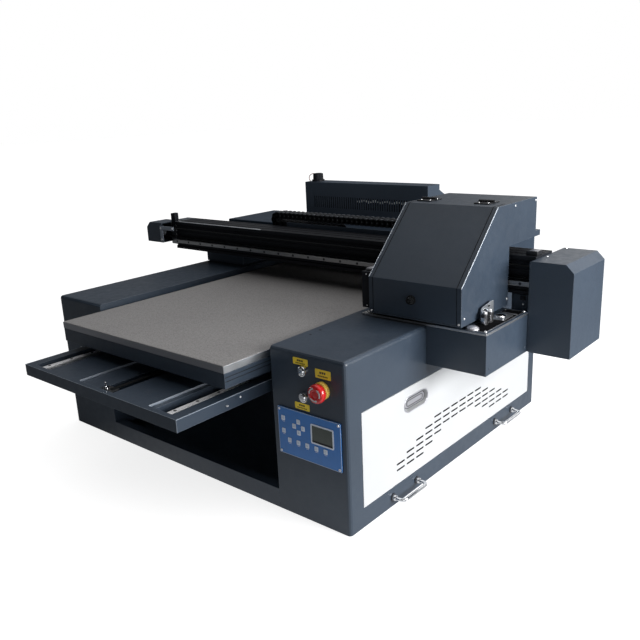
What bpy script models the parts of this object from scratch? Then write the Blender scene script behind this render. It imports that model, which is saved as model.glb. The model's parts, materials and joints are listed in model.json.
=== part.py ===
"""Flatbed UV printer: a moving bed on a lifting platform under a fixed beam with a hooded print carriage.

Metres, +Z up, +X to the right along the beam, +Y to the back.
The origin is the middle of the base's underside.
"""

import math

import bmesh
import bpy
from mathutils import Matrix, Vector

# Driving dimensions of the cabinet.
HALF_WIDTH = 0.525
HALF_DEPTH = 0.446
CABINET_TOP = 0.392
BAY_HALF = 0.320
SILL_TOP = 0.0476
SHEET = 0.003
PAN_WALL = 0.030
GAP = 0.0003
BEND = 0.008
REAR_OPENING = 0.100

# Rear housing and the ventilated ink box on it.
HOUSING_FRONT = 0.232
HOUSING_BACK = 0.463
HOUSING_TOP = 0.520
HOUSING_RIGHT = 0.505
VENT_FRONT = 0.320
VENT_TOP = 0.647
VENT_LEFT = -0.235
VENT_RIGHT = 0.238
VENT_SLOTS = 46
VENT_PITCH = 0.0088
VENT_SLOT_WIDTH = 0.0036
VENT_SLOT_Z = (0.566, 0.603)

# Beam, its rail and the belt that pulls the carriage.
BEAM_FRONT = 0.079
BEAM_BACK = 0.170
BEAM_BOTTOM = 0.432
BEAM_TOP = 0.524
BEAM_LEFT = -0.630
RAIL_SIZE = 0.015
RAIL_Z = 0.460
BELT_Z = 0.488
BELT_RADIUS = 0.0140
BELT_THICK = 0.0015
BELT_FRONT = 0.064
BELT_BACK = 0.076
IDLER_X = -0.700
DRIVE_X = 0.730

# Boxes at the beam's ends.
LEFT_COVER_X = (-0.745, -0.6603)
END_BOX_X = (0.680, 0.781)
END_BOX_Y = (0.052, 0.241)
END_BOX_Z = (0.300, 0.519)

# Cable chain behind the beam.
CHAIN_Y = (0.184, 0.224)
CHAIN_LINK = 0.016
CHAIN_LOW = 0.5125
CHAIN_TOP = 0.565
CHAIN_BEND_X = -0.244
CHAIN_ANCHOR_X = 0.000
CHAIN_TRAY_RIGHT = 0.360

# Print carriage and its hood.
HOOD_LEFT = 0.375
HOOD_RIGHT = 0.621
HOOD_FRONT = -0.160
HOOD_BOTTOM = 0.405
HOOD_FOLD = 0.492
HOOD_TOP = 0.646
HOOD_CREST = 0.000
LID_HINGE_Y = 0.055
HOOD_REAR = 0.205
HOOD_LIP = 0.231
HOOD_OVER_BEAM = 0.548
HOOD_SIDE_BACK = 0.0615
LID_MARGIN = 0.012
LID_BOTTOM = 0.4085
LID_SEAM = 0.0006
KNOB = (0.494, 0.451)
KNOB_RADIUS = 0.011
RAIL_BLOCK_LENGTH = 0.060
HEAD_X = ((0.478, 0.518), (0.558, 0.598))
HEAD_Y = (-0.110, -0.010)
LAMP_LEFT = 0.347

# Bed, its platform and the four lead screws.
TABLE_HALF = 0.304
TABLE_FRONT = -0.567
TABLE_BACK = 0.343
TABLE_TOP = 0.378
PLATE_BOTTOM = 0.361
FRAME_BOTTOM = 0.327
TRAY_HALF = 0.292
TRAY_FRONT = -0.690
TRAY_BACK = 0.640
TRAY_TOP = 0.301
TRAY_BOTTOM = 0.273
TRAY_FLOOR = TRAY_BOTTOM + SHEET
TRAY_RIM = 0.014
TRAY_SIDE = 0.028
RECESS_INNER = 0.200
CHANNEL_X = (0.004, 0.060)
LEDGE_X = (-0.073, 0.186)
LEDGE_DROP = 0.005
Y_RAIL_X = 0.243
Y_RAIL_HEIGHT = 0.020
BED_BELT_X = 0.032
SCREW_X = 0.3125
SCREW_Y = 0.250
SCREW_RADIUS = 0.005
SCREW_TOP = 0.325
LUG_HALF = 0.020

# Maintenance station at the right of the bed.
STATION_RIGHT = 0.676
STATION_Y = (-0.149, 0.058)
STATION_BOTTOM = 0.300
DECK_TOP = 0.397
DECK_LEFT = 0.345
DECK_HOLE_X = (0.540, 0.648)
DECK_HOLE_Y = (-0.118, 0.050)
HEAD_BOTTOM = 0.3995

# Service door in the right side, its louvres and its latch.
DOOR_Y = (-0.397, 0.4085)
DOOR_Z = (0.0465, 0.267)
DOOR_SEAM = 0.0012
SLOT_LENGTH = 0.031
SLOT_HEIGHT = 0.0035
SLOT_PITCH = 0.040
SLOT_ROW = 0.0146
SLOT_START = (-0.2716, 0.1538)
SLOT_ROWS = ((4, 5), (3, 5), (2, 5), (1, 4), (0, 3), (0, 2), (0, 2))
LATCH = (-0.191, 0.225)
LATCH_SIZE = (0.094, 0.033)
LATCH_DEPTH = 0.010

# Operator's controls on the front of the right tower.
PANEL_X = (0.335, 0.510)
PANEL_Z = (0.148, 0.258)
PANEL_THICK = 0.003
STOP = (0.467, 0.321)
STOP_RADIUS = 0.0205
STOP_REACH = 0.030
UP_BUTTON = (0.415, 0.354)
DOWN_BUTTON = (0.4155, 0.296)
BUTTON_RADIUS = 0.0105
BUTTON_REACH = 0.012

SEGMENTS = 16


def clear_scene():
    for obj in list(bpy.data.objects):
        bpy.data.objects.remove(obj, do_unlink=True)


def material(name, colour, roughness=0.5, metallic=0.0):
    found = bpy.data.materials.get(name)
    if found:
        return found
    made = bpy.data.materials.new(name)
    made.use_nodes = True
    shader = made.node_tree.nodes["Principled BSDF"]
    shader.inputs["Base Color"].default_value = (*colour, 1.0)
    shader.inputs["Roughness"].default_value = roughness
    shader.inputs["Metallic"].default_value = metallic
    return made


def painted():
    return material("blue_grey_paint", (0.060, 0.075, 0.095), 0.5)


def black_anodised():
    return material("black_anodised", (0.020, 0.022, 0.026), 0.35, 0.6)


def white_paint():
    return material("white_paint", (0.85, 0.86, 0.87), 0.4)


def bright_steel():
    return material("bright_steel", (0.72, 0.73, 0.75), 0.25, 1.0)


def black_plastic():
    return material("black_plastic", (0.018, 0.018, 0.020), 0.5)


def rubber():
    return material("black_rubber", (0.015, 0.015, 0.015), 0.8)


def finish(name, mesh, look, pivot=None):
    """Makes a node of the mesh, whose points are in world space, with its origin at the pivot."""
    bmesh.ops.recalc_face_normals(mesh, faces=mesh.faces)
    origin = Vector(pivot or (0, 0, 0))
    bmesh.ops.translate(mesh, vec=-origin, verts=mesh.verts)
    data = bpy.data.meshes.new(name)
    mesh.to_mesh(data)
    mesh.free()
    data.shade_smooth()
    data.set_sharp_from_angle(angle=math.radians(30))
    data.materials.append(look)
    obj = bpy.data.objects.new(name, data)
    obj.location = origin
    bpy.context.scene.collection.objects.link(obj)
    return obj


def box_mesh(x, y, z):
    mesh = bmesh.new()
    size = (x[1] - x[0], y[1] - y[0], z[1] - z[0])
    middle = Vector((x[0] + x[1], y[0] + y[1], z[0] + z[1])) / 2
    bmesh.ops.create_cube(mesh, size=1, matrix=Matrix.Translation(middle) @ Matrix.Diagonal((*size, 1)))
    return mesh


def soften(mesh, radius, wanted):
    """Rounds the edges whose middle passes the test."""
    edges = [edge for edge in mesh.edges if wanted((edge.verts[0].co + edge.verts[1].co) / 2)]
    bmesh.ops.bevel(mesh, geom=edges, offset=radius, segments=3, profile=0.5, affect="EDGES")
    return mesh


def box(name, x, y, z, look, pivot=None):
    return finish(name, box_mesh(x, y, z), look, pivot)


def prism_mesh(outline, axis, start, end):
    """Extrudes an outline of pairs, given in the order of the two other axes, along the named axis."""
    place = {
        "x": lambda a, b, t: (t, a, b),
        "y": lambda a, b, t: (a, t, b),
        "z": lambda a, b, t: (a, b, t),
    }[axis]
    mesh = bmesh.new()
    face = mesh.faces.new([mesh.verts.new(place(a, b, start)) for a, b in outline])
    made = bmesh.ops.extrude_face_region(mesh, geom=[face])
    shift = Vector(place(0, 0, end - start))
    moved = [item for item in made["geom"] if isinstance(item, bmesh.types.BMVert)]
    bmesh.ops.translate(mesh, vec=shift, verts=moved)
    bmesh.ops.recalc_face_normals(mesh, faces=mesh.faces)
    return mesh


def prism(name, outline, axis, start, end, look, pivot=None):
    return finish(name, prism_mesh(outline, axis, start, end), look, pivot)


def arc(centre, radius, first, last, steps):
    """Points on an arc, angles in degrees."""
    turn = [math.radians(first + (last - first) * i / steps) for i in range(steps + 1)]
    return [(centre[0] + radius * math.cos(a), centre[1] + radius * math.sin(a)) for a in turn]


def circle(centre, radius, steps=SEGMENTS):
    return arc(centre, radius, 0, 360 * (steps - 1) / steps, steps - 1)


def stadium(centre, length, height, steps=6):
    """A slot with round ends, its length along the first axis."""
    reach = (length - height) / 2
    right = arc((centre[0] + reach, centre[1]), height / 2, -90, 90, steps)
    left = arc((centre[0] - reach, centre[1]), height / 2, 90, 270, steps)
    return right + left


def cutter(mesh, name):
    obj = finish(name, mesh, black_plastic())
    obj.hide_render = True
    obj.display_type = "WIRE"
    return obj


def combine(obj, mesh, operation):
    """Cuts the mesh from the object, or joins it to it."""
    helper = cutter(mesh, f"{obj.name}_{operation.lower()}_{len(obj.modifiers)}")
    change = obj.modifiers.new(operation.title(), "BOOLEAN")
    change.operation = operation
    change.object = helper
    change.solver = "EXACT"
    return obj


def cut(obj, mesh):
    return combine(obj, mesh, "DIFFERENCE")


def join(obj, mesh):
    return combine(obj, mesh, "UNION")


def merged(meshes):
    """One mesh of several that don't touch, for a cutter that makes many holes."""
    whole = bmesh.new()
    for mesh in meshes:
        data = bpy.data.meshes.new("piece")
        mesh.to_mesh(data)
        mesh.free()
        whole.from_mesh(data)
        bpy.data.meshes.remove(data)
    return whole


# Cabinet


def build_base_pan():
    x = HALF_WIDTH - SHEET - GAP
    y = HALF_DEPTH - SHEET - GAP
    body = box_mesh((-x, x), (-y, y), (0, PAN_WALL))
    body = soften(body, BEND, lambda middle: abs(middle.z - PAN_WALL / 2) < 1e-5)
    pan = finish("base_pan", body, painted())
    inside = (SHEET - x, x - SHEET)
    cut(pan, box_mesh(inside, (SHEET - y, y - SHEET), (SHEET, 0.050)))


def build_front_sill():
    front = -HALF_DEPTH
    back = front + SHEET
    flange = front + 0.026
    outline = [
        (front, 0),
        (back, 0),
        (back, SILL_TOP - SHEET),
        (flange, SILL_TOP - SHEET),
        (flange, SILL_TOP),
        (front, SILL_TOP),
    ]
    prism("front_sill", outline, "x", -BAY_HALF + GAP, BAY_HALF - GAP, painted())


def side_shell(name, side):
    """A side box of bent sheet, open below and behind; side is -1 for the left and 1 for the right."""
    inner = BAY_HALF if side > 0 else -BAY_HALF
    outer = side * HALF_WIDTH
    x = tuple(sorted((inner, outer)))
    back = HALF_DEPTH - SHEET - GAP
    front = -HALF_DEPTH

    def bent(middle, shrink=0.0):
        top = abs(middle.z - (CABINET_TOP - shrink)) < 1e-5
        at_front = abs(middle.y - (front + shrink)) < 1e-5
        at_side = abs(middle.x - (outer - side * shrink)) < 1e-5
        return (top and (at_front or at_side)) or (at_front and at_side)

    body = soften(box_mesh(x, (front, back), (0, CABINET_TOP)), BEND, bent)
    shell = finish(name, body, painted())
    inside_x = (x[0] + SHEET, x[1] - SHEET)
    room = box_mesh(inside_x, (front + SHEET, back + 0.02), (-0.02, CABINET_TOP - SHEET))
    cut(shell, soften(room, BEND - SHEET, lambda middle: bent(middle, SHEET)))
    foot_x = tuple(sorted((inner - side * 0.001, inner + side * (SHEET + 0.001))))
    cut(shell, box_mesh(foot_x, (front + SHEET, back + 0.02), (-0.02, PAN_WALL + GAP)))
    return shell


def build_tower():
    tower = side_shell("tower_cover", 1)
    seam = DOOR_SEAM
    window_y = (DOOR_Y[0] - seam, DOOR_Y[1] + seam)
    window_z = (DOOR_Z[0] - seam, DOOR_Z[1] + seam)
    cut(tower, box_mesh((HALF_WIDTH - 0.02, HALF_WIDTH + 0.02), window_y, window_z))
    through = (-HALF_DEPTH - 0.02, -HALF_DEPTH + 0.02)
    button_hole = BUTTON_RADIUS - 0.0023
    holes = [(STOP, 0.0112), (UP_BUTTON, button_hole), (DOWN_BUTTON, button_hole)]
    cut(tower, merged([prism_mesh(circle(place, radius), "y", *through) for place, radius in holes]))


def build_rear_panel():
    x = HALF_WIDTH - SHEET - GAP
    top = CABINET_TOP - SHEET - GAP
    outline = [
        (-x, 0),
        (x, 0),
        (x, top),
        (BAY_HALF, top),
        (BAY_HALF, REAR_OPENING),
        (-BAY_HALF, REAR_OPENING),
        (-BAY_HALF, top),
        (-x, top),
    ]
    prism("rear_panel", outline, "y", HALF_DEPTH - SHEET, HALF_DEPTH, painted())


def build_rear_housing():
    bottom = CABINET_TOP + GAP
    x = (-HALF_WIDTH, HOUSING_RIGHT)

    def bent(middle):
        return abs(middle.z - HOUSING_TOP) < 1e-5

    body = soften(box_mesh(x, (HOUSING_FRONT, HOUSING_BACK), (bottom, HOUSING_TOP)), 0.003, bent)
    shell = finish("rear_housing", body, painted())
    inside_x = (x[0] + SHEET, x[1] - SHEET)
    inside_y = (HOUSING_FRONT + SHEET, HOUSING_BACK - SHEET)
    cut(shell, box_mesh(inside_x, inside_y, (bottom - 0.02, HOUSING_TOP - SHEET)))
    deck_x = (inside_x[0] + GAP, inside_x[1] - GAP)
    deck_y = (inside_y[0] + GAP, inside_y[1] - GAP)
    box("rear_deck", deck_x, deck_y, (bottom, bottom + SHEET), bright_steel())


def build_main_board():
    board = material("circuit_board", (0.02, 0.22, 0.09), 0.5)
    foot = CABINET_TOP + SHEET + 0.001
    low = foot + 0.006
    top = low + 0.002
    x = (-0.30, 0.10)
    y = (0.270, 0.430)
    edge = 0.010
    plate = box("main_board", x, y, (low, top), board)
    chips = [
        ((-0.28, -0.20), (0.29, 0.36), 0.014),
        ((-0.16, -0.09), (0.33, 0.40), 0.006),
        ((-0.04, 0.08), (0.29, 0.31), 0.008),
        ((-0.04, 0.08), (0.39, 0.41), 0.008),
    ]
    shapes = [box_mesh(chip_x, chip_y, (top - 0.001, top + high)) for chip_x, chip_y, high in chips]
    corners = [(a, b) for a in (x[0] + edge, x[1] - edge) for b in (y[0] + edge, y[1] - edge)]
    shapes += [prism_mesh(circle(place, 0.004, 8), "z", foot, low + 0.001) for place in corners]
    join(plate, merged(shapes))


def build_vent_box():
    bottom = HOUSING_TOP + GAP
    ridge = 0.385
    step = 0.017
    eave = 0.587

    def outline(wall, floor):
        return [
            (VENT_FRONT + wall, floor),
            (VENT_FRONT + wall, VENT_TOP - wall),
            (ridge - wall, VENT_TOP - wall),
            (ridge - wall, VENT_TOP - step - wall),
            (HOUSING_BACK - wall, eave - wall),
            (HOUSING_BACK - wall, floor),
        ]

    shell = prism("vent_box", outline(0, bottom), "x", VENT_LEFT, VENT_RIGHT, painted())
    room = prism_mesh(outline(SHEET, bottom - 0.02), "x", VENT_LEFT + SHEET, VENT_RIGHT - SHEET)
    cut(shell, room)
    first = (VENT_LEFT + VENT_RIGHT - (VENT_SLOTS - 1) * VENT_PITCH) / 2
    through = (VENT_FRONT - 0.01, VENT_FRONT + 0.01)
    slots = []
    for i in range(VENT_SLOTS):
        left = first + i * VENT_PITCH - VENT_SLOT_WIDTH / 2
        slots.append(box_mesh((left, left + VENT_SLOT_WIDTH), through, VENT_SLOT_Z))
    cut(shell, merged(slots))


def build_ink_tank():
    tank = material("ink_tank_plastic", (0.75, 0.76, 0.74), 0.4)
    x = (VENT_LEFT + 0.020, VENT_RIGHT - 0.020)
    y = (VENT_FRONT + 0.015, VENT_FRONT + 0.055)
    box("ink_tank", x, y, (HOUSING_TOP + GAP, VENT_TOP - 0.012), tank)
    place = (-0.203, 0.350)
    foot = VENT_TOP + GAP
    cap = prism("tank_cap", circle(place, 0.017), "z", foot, foot + 0.026, black_plastic())
    join(cap, prism_mesh(circle(place, 0.021), "z", foot, foot + 0.006))


def build_power_supply():
    floor = SHEET + GAP
    case = material("supply_case", (0.55, 0.56, 0.57), 0.35, 0.9)
    box("power_supply", (0.350, 0.465), (0.020, 0.235), (floor, 0.060), case)


def build_waste_bottle():
    plastic = material("waste_bottle_plastic", (0.80, 0.80, 0.74), 0.4)
    floor = SHEET + GAP
    shoulder = 0.170
    middle_z = (floor + shoulder) / 2
    body = box_mesh((0.380, 0.480), (-0.270, -0.150), (floor, shoulder))
    body = soften(body, 0.012, lambda middle: abs(middle.z - middle_z) < 0.01)
    bottle = finish("waste_bottle", body, plastic)
    join(bottle, prism_mesh(circle((0.430, -0.210), 0.022), "z", shoulder - 0.005, shoulder + 0.025))


def build_power_inlet():
    x = (-0.450, -0.390)
    y = (HALF_DEPTH + GAP, HALF_DEPTH + 0.012)
    z = (0.060, 0.110)
    frame_x = 0.016
    frame_z = 0.014
    inlet = box("power_inlet", x, y, z, black_plastic())
    socket_x = (x[0] + frame_x, x[1] - frame_x)
    cut(inlet, box_mesh(socket_x, (y[1] - 0.008, y[1] + 0.01), (z[0] + frame_z, z[1] - frame_z)))


# Beam


def column(name, x):
    bottom = CABINET_TOP + GAP
    top = BEAM_BOTTOM - GAP
    y = (0.120, HOUSING_FRONT - GAP)
    post = box(name, x, y, (bottom, top), painted())
    inside_x = (x[0] + SHEET, x[1] - SHEET)
    cut(post, box_mesh(inside_x, (y[0] + SHEET, y[1] - SHEET), (bottom - 0.02, top - SHEET)))


def build_beam():
    groove = 0.003
    outline = [(BEAM_FRONT, BEAM_BOTTOM)]
    for low, high in ((0.476, 0.484), (0.492, 0.500), (0.508, 0.514)):
        outline += [
            (BEAM_FRONT, low),
            (BEAM_FRONT + groove, low),
            (BEAM_FRONT + groove, high),
            (BEAM_FRONT, high),
        ]
    outline += [(BEAM_FRONT, BEAM_TOP), (BEAM_BACK, BEAM_TOP), (BEAM_BACK, BEAM_BOTTOM)]
    right = END_BOX_X[0] - GAP
    beam = prism("beam", outline, "x", BEAM_LEFT, right, black_anodised())
    wall = 0.008
    hollow_y = (BEAM_FRONT + wall, BEAM_BACK - wall)
    hollow_z = (BEAM_BOTTOM + wall, BEAM_TOP - wall)
    cut(beam, box_mesh((BEAM_LEFT - 0.02, right + 0.02), hollow_y, hollow_z))
    rail_y = (BEAM_FRONT - RAIL_SIZE, BEAM_FRONT - GAP)
    rail_z = (RAIL_Z - 0.008, RAIL_Z + 0.008)
    box("x_rail", (BEAM_LEFT + 0.002, right - 0.002), rail_y, rail_z, bright_steel())


def build_left_end():
    x = LEFT_COVER_X
    y = (0.042, 0.115)
    low = 0.454
    top = 0.5225
    chamfer = 0.018

    def outline(wall, past=0.0):
        slant = wall * math.tan(math.radians(22.5))
        return [
            (x[0] + wall, low + wall),
            (x[1] + past, low + wall),
            (x[1] + past, top - wall),
            (x[0] + chamfer + slant, top - wall),
            (x[0] + wall, top - chamfer - slant),
        ]

    cover = prism("left_end_cover", outline(0), "y", y[0], y[1], painted())
    cut(cover, prism_mesh(outline(SHEET, 0.02), "y", y[0] + SHEET, y[1] - SHEET))
    bracket_x = (x[1] + 2 * GAP, BEAM_LEFT - GAP)
    block = box("left_end_bracket", bracket_x, (0.080, 0.165), (0.446, 0.520), bright_steel())
    post_x = (bracket_x[0] + 0.008, bracket_x[1] - 0.006)
    join(block, box_mesh(post_x, (0.096, 0.100), (0.515, 0.552)))


def build_end_box():
    x, y, z = END_BOX_X, END_BOX_Y, END_BOX_Z
    chamfer = 0.019

    def outline(wall, past=0.0):
        slant = wall * math.tan(math.radians(22.5))
        return [
            (x[0] - past, z[0] + wall),
            (x[1] - wall, z[0] + wall),
            (x[1] - wall, z[1] - chamfer - slant),
            (x[1] - chamfer - slant, z[1] - wall),
            (x[0] - past, z[1] - wall),
        ]

    shell = prism("end_box", outline(0), "y", y[0], y[1], painted())
    cut(shell, prism_mesh(outline(SHEET, 0.02), "y", y[0] + SHEET, y[1] - SHEET))


def build_belt_drive():
    outer = BELT_RADIUS + BELT_THICK
    middle = ((IDLER_X + DRIVE_X) / 2, BELT_Z)
    span = DRIVE_X - IDLER_X
    belt_outline = stadium(middle, span + 2 * outer, 2 * outer, 8)
    belt = prism("x_belt", belt_outline, "y", BELT_FRONT, BELT_BACK, rubber())
    inside = stadium(middle, span + 2 * BELT_RADIUS, 2 * BELT_RADIUS, 8)
    cut(belt, prism_mesh(inside, "y", BELT_FRONT - 0.01, BELT_BACK + 0.01))
    radius = BELT_RADIUS - GAP
    flange = BELT_RADIUS + 0.0035
    for name, place in (("idler_pulley", IDLER_X), ("drive_pulley", DRIVE_X)):
        pivot = (place, (BELT_FRONT + BELT_BACK) / 2, BELT_Z)
        centre = (place, BELT_Z)
        rim = (BELT_FRONT - 0.001, BELT_BACK + 0.001)
        wheel = prism(name, circle(centre, radius), "y", *rim, bright_steel(), pivot)
        for start in (BELT_FRONT - 0.002, BELT_BACK + 0.0005):
            join(wheel, prism_mesh(circle(centre, flange), "y", start, start + 0.0015))
    half = 0.0265
    motor_x = (DRIVE_X - half, DRIVE_X + half)
    motor_z = (BELT_Z - half, BELT_Z + half)
    motor_y = (BELT_BACK + 0.004, BELT_BACK + 0.080)
    box("x_motor", motor_x, motor_y, motor_z, black_plastic())


def build_chain():
    plastic = black_plastic()
    top = CHAIN_LOW - 0.0005
    thick = 0.003
    y = (CHAIN_Y[0] - 0.0125, CHAIN_Y[1] + 0.0045)
    tray = box("chain_tray", (-0.745, CHAIN_TRAY_RIGHT), y, (top - thick, top), painted())
    join(tray, box_mesh((-0.190, CHAIN_TRAY_RIGHT), (y[0], y[0] + 0.002), (top - thick, top + 0.0245)))
    low = (CHAIN_LOW, CHAIN_LOW + CHAIN_LINK)
    high = (CHAIN_TOP - CHAIN_LINK, CHAIN_TOP)
    box("chain_lower", (CHAIN_BEND_X + GAP, CHAIN_ANCHOR_X), CHAIN_Y, low, plastic)
    box("chain_upper", (CHAIN_BEND_X + GAP, HOOD_LEFT - GAP), CHAIN_Y, high, plastic)
    middle = (CHAIN_BEND_X, (CHAIN_LOW + CHAIN_TOP) / 2)
    outer = (CHAIN_TOP - CHAIN_LOW) / 2
    bend = arc(middle, outer, 90, 270, 10) + arc(middle, outer - CHAIN_LINK, 270, 90, 8)
    prism("chain_bend", bend, "y", *CHAIN_Y, plastic, (middle[0], 0, middle[1]))


# Carriage


def build_carriage_frame():
    """The plate behind the heads, the shelf that holds them and two blocks that grip the rail."""
    x = (HOOD_LEFT + 0.010, HOOD_RIGHT - 0.010)
    plate_y = (0.046, 0.0585)
    shelf_z = (0.4120, 0.4180)
    frame = box("carriage_frame", x, plate_y, (shelf_z[0], 0.540), black_anodised())
    join(frame, box_mesh(x, (-0.145, plate_y[0] + 0.004), shelf_z))
    rail_half = 0.008
    block_z = (RAIL_Z - 0.0155, RAIL_Z + 0.0115)
    for start in (x[0] + 0.015, x[1] - 0.015 - RAIL_BLOCK_LENGTH):
        block_x = (start, start + RAIL_BLOCK_LENGTH)
        join(frame, box_mesh(block_x, (plate_y[1] - 0.0035, BEAM_FRONT - 0.0035), block_z))
    play = 0.0005
    rail_y = (BEAM_FRONT - RAIL_SIZE - play, BEAM_FRONT + 0.01)
    rail_z = (RAIL_Z - rail_half - play, RAIL_Z + rail_half + play)
    cut(frame, box_mesh((x[0] - 0.02, x[1] + 0.02), rail_y, rail_z))
    hole_y = (HEAD_Y[0] - play, HEAD_Y[1] + play)
    hole_z = (shelf_z[0] - 0.01, shelf_z[1] + 0.01)
    cut(frame, merged([box_mesh((a - play, b + play), hole_y, hole_z) for a, b in HEAD_X]))


def build_heads():
    z = (HEAD_BOTTOM, 0.470)
    heads = box("print_heads", HEAD_X[0], HEAD_Y, z, bright_steel())
    join(heads, box_mesh(HEAD_X[1], HEAD_Y, z))
    bridge_x = (HEAD_X[0][0] + 0.002, HEAD_X[1][1] - 0.002)
    join(heads, box_mesh(bridge_x, (HEAD_Y[0] + 0.030, HEAD_Y[1] - 0.030), (z[1] - 0.010, z[1] - 0.002)))


def build_lamp():
    x = (LAMP_LEFT, HOOD_LEFT - GAP)
    y = (-0.150, 0.020)
    z = (0.412, 0.500)
    wall = 0.006
    lamp = box("uv_lamp", x, y, z, black_anodised())
    window_y = (y[0] + 0.010, y[1] - 0.010)
    cut(lamp, box_mesh((x[0] + wall, x[1] - wall), window_y, (z[0] - 0.01, z[0] + 0.004)))


def slope():
    """Angle of the hood's slanted front above the horizontal."""
    return math.atan2(HOOD_TOP - HOOD_FOLD, HOOD_CREST - HOOD_FRONT)


def hood_outline(wall=0.0, drop=0.0):
    """Side view of the hood as (y, z); wall moves it inwards and drop lowers the open bottom."""
    at_fold = wall * math.tan((math.pi / 2 - slope()) / 2)
    at_crest = wall * math.tan(slope() / 2)
    lip_top = HOOD_OVER_BEAM + 0.014
    return [
        (HOOD_FRONT + wall, HOOD_BOTTOM - drop),
        (HOOD_SIDE_BACK + drop, HOOD_BOTTOM - drop),
        (HOOD_SIDE_BACK + drop, HOOD_OVER_BEAM - drop),
        (HOOD_LIP - wall, HOOD_OVER_BEAM - drop),
        (HOOD_LIP - wall, lip_top - wall),
        (HOOD_REAR - wall, lip_top - wall),
        (HOOD_REAR - wall, HOOD_TOP - wall),
        (HOOD_CREST + at_crest, HOOD_TOP - wall),
        (HOOD_FRONT + wall, HOOD_FOLD - at_fold),
    ]


def lid_outline(outside, inside, seam):
    """Side view of a sheet along the hood's front, slant and top edge, its faces that far out and in."""

    def line(wall):
        at_fold = wall * math.tan((math.pi / 2 - slope()) / 2)
        at_crest = wall * math.tan(slope() / 2)
        return [
            (HOOD_FRONT + wall, LID_BOTTOM - seam),
            (HOOD_FRONT + wall, HOOD_FOLD - at_fold),
            (HOOD_CREST + at_crest, HOOD_TOP - wall),
            (LID_HINGE_Y + seam, HOOD_TOP - wall),
        ]

    return line(-outside) + line(inside)[::-1]


def build_hood():
    hood = prism("hood", hood_outline(), "x", HOOD_LEFT, HOOD_RIGHT, painted())
    room_x = (HOOD_LEFT + SHEET, HOOD_RIGHT - SHEET)
    cut(hood, prism_mesh(hood_outline(SHEET, 0.03), "x", *room_x))
    lid_x = (HOOD_LEFT + LID_MARGIN, HOOD_RIGHT - LID_MARGIN)
    opening_x = (lid_x[0] - LID_SEAM, lid_x[1] + LID_SEAM)
    cut(hood, prism_mesh(lid_outline(0.01, 2 * SHEET, LID_SEAM), "x", *opening_x))
    pivot = (0, LID_HINGE_Y, HOOD_TOP + 0.004)
    prism("hood_lid", lid_outline(0, SHEET, 0), "x", *lid_x, painted(), pivot)


def build_knob():
    face = HOOD_FRONT - GAP
    disc = 0.004
    grip = 0.014
    pivot = (KNOB[0], face, KNOB[1])
    knob = prism("hood_knob", circle(KNOB, KNOB_RADIUS), "y", face - disc, face, black_plastic(), pivot)
    grip_x = (KNOB[0] - 0.003, KNOB[0] + 0.003)
    grip_z = (KNOB[1] - KNOB_RADIUS + 0.001, KNOB[1] + KNOB_RADIUS - 0.001)
    join(knob, box_mesh(grip_x, (face - grip, face - disc / 2), grip_z))


# Maintenance station


def build_tub():
    """The drip tub at the machine's right, with the sheet deck over it and over the tower's top."""
    x = (HALF_WIDTH + GAP, STATION_RIGHT)
    tub = box("maintenance_box", x, STATION_Y, (STATION_BOTTOM, CABINET_TOP), painted())
    inside_x = (x[0] + SHEET, x[1] - SHEET)
    inside_y = (STATION_Y[0] + SHEET, STATION_Y[1] - SHEET)
    cut(tub, box_mesh(inside_x, inside_y, (STATION_BOTTOM + SHEET, CABINET_TOP + 0.02)))
    deck_z = (CABINET_TOP + GAP, DECK_TOP)
    deck = box("maintenance_deck", (DECK_LEFT, STATION_RIGHT), STATION_Y, deck_z, bright_steel())
    cut(deck, box_mesh(DECK_HOLE_X, DECK_HOLE_Y, (deck_z[0] - 0.01, deck_z[1] + 0.01)))


def build_caps():
    """The rubber-lipped cap that rises under the print heads, on its lift's stem."""
    floor = STATION_BOTTOM + SHEET + GAP
    x = (0.548, 0.608)
    y = (-0.114, -0.006)
    body_z = (0.360, 0.390)
    lip = 0.012
    lip_top = HEAD_BOTTOM - 0.0005
    pivot = (sum(x) / 2, sum(y) / 2, floor)
    caps = box("cap_station", x, y, body_z, black_plastic(), pivot)
    stem_x = (x[0] + 0.018, x[1] - 0.018)
    stem_y = (y[0] + 0.014, y[1] - 0.014)
    join(caps, box_mesh(stem_x, stem_y, (0.320, body_z[0] + 0.005)))
    lip_x = (x[0] + lip, x[1] - lip)
    lip_y = (y[0] + lip / 2, y[1] - lip / 2)
    join(caps, box_mesh(lip_x, lip_y, (body_z[1] - 0.005, lip_top)))
    cup_x = (lip_x[0] + SHEET, lip_x[1] - SHEET)
    cup_y = (lip_y[0] + SHEET, lip_y[1] - SHEET)
    cut(caps, box_mesh(cup_x, cup_y, (lip_top - 0.004, lip_top + 0.01)))


def build_pump_bracket():
    foot = STATION_BOTTOM + SHEET + GAP
    x = (0.628, 0.631)
    y = (-0.108, -0.050)
    shelf_top = 0.431
    reach = 0.017
    bracket = box("pump_bracket", x, y, (foot, 0.450), bright_steel())
    join(bracket, box_mesh((x[0], x[0] + reach), y, (shelf_top - SHEET, shelf_top)))
    pump_y = (y[0] + 0.018, y[1] - 0.016)
    join(bracket, box_mesh((x[1] - GAP, x[0] + reach), pump_y, (0.340, shelf_top - SHEET + GAP)))


# Controls


def build_control_panel():
    face = -HALF_DEPTH - GAP
    panel = material("blue_panel", (0.045, 0.110, 0.330), 0.45)
    box("control_panel", PANEL_X, (face - PANEL_THICK, face), PANEL_Z, panel)


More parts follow.
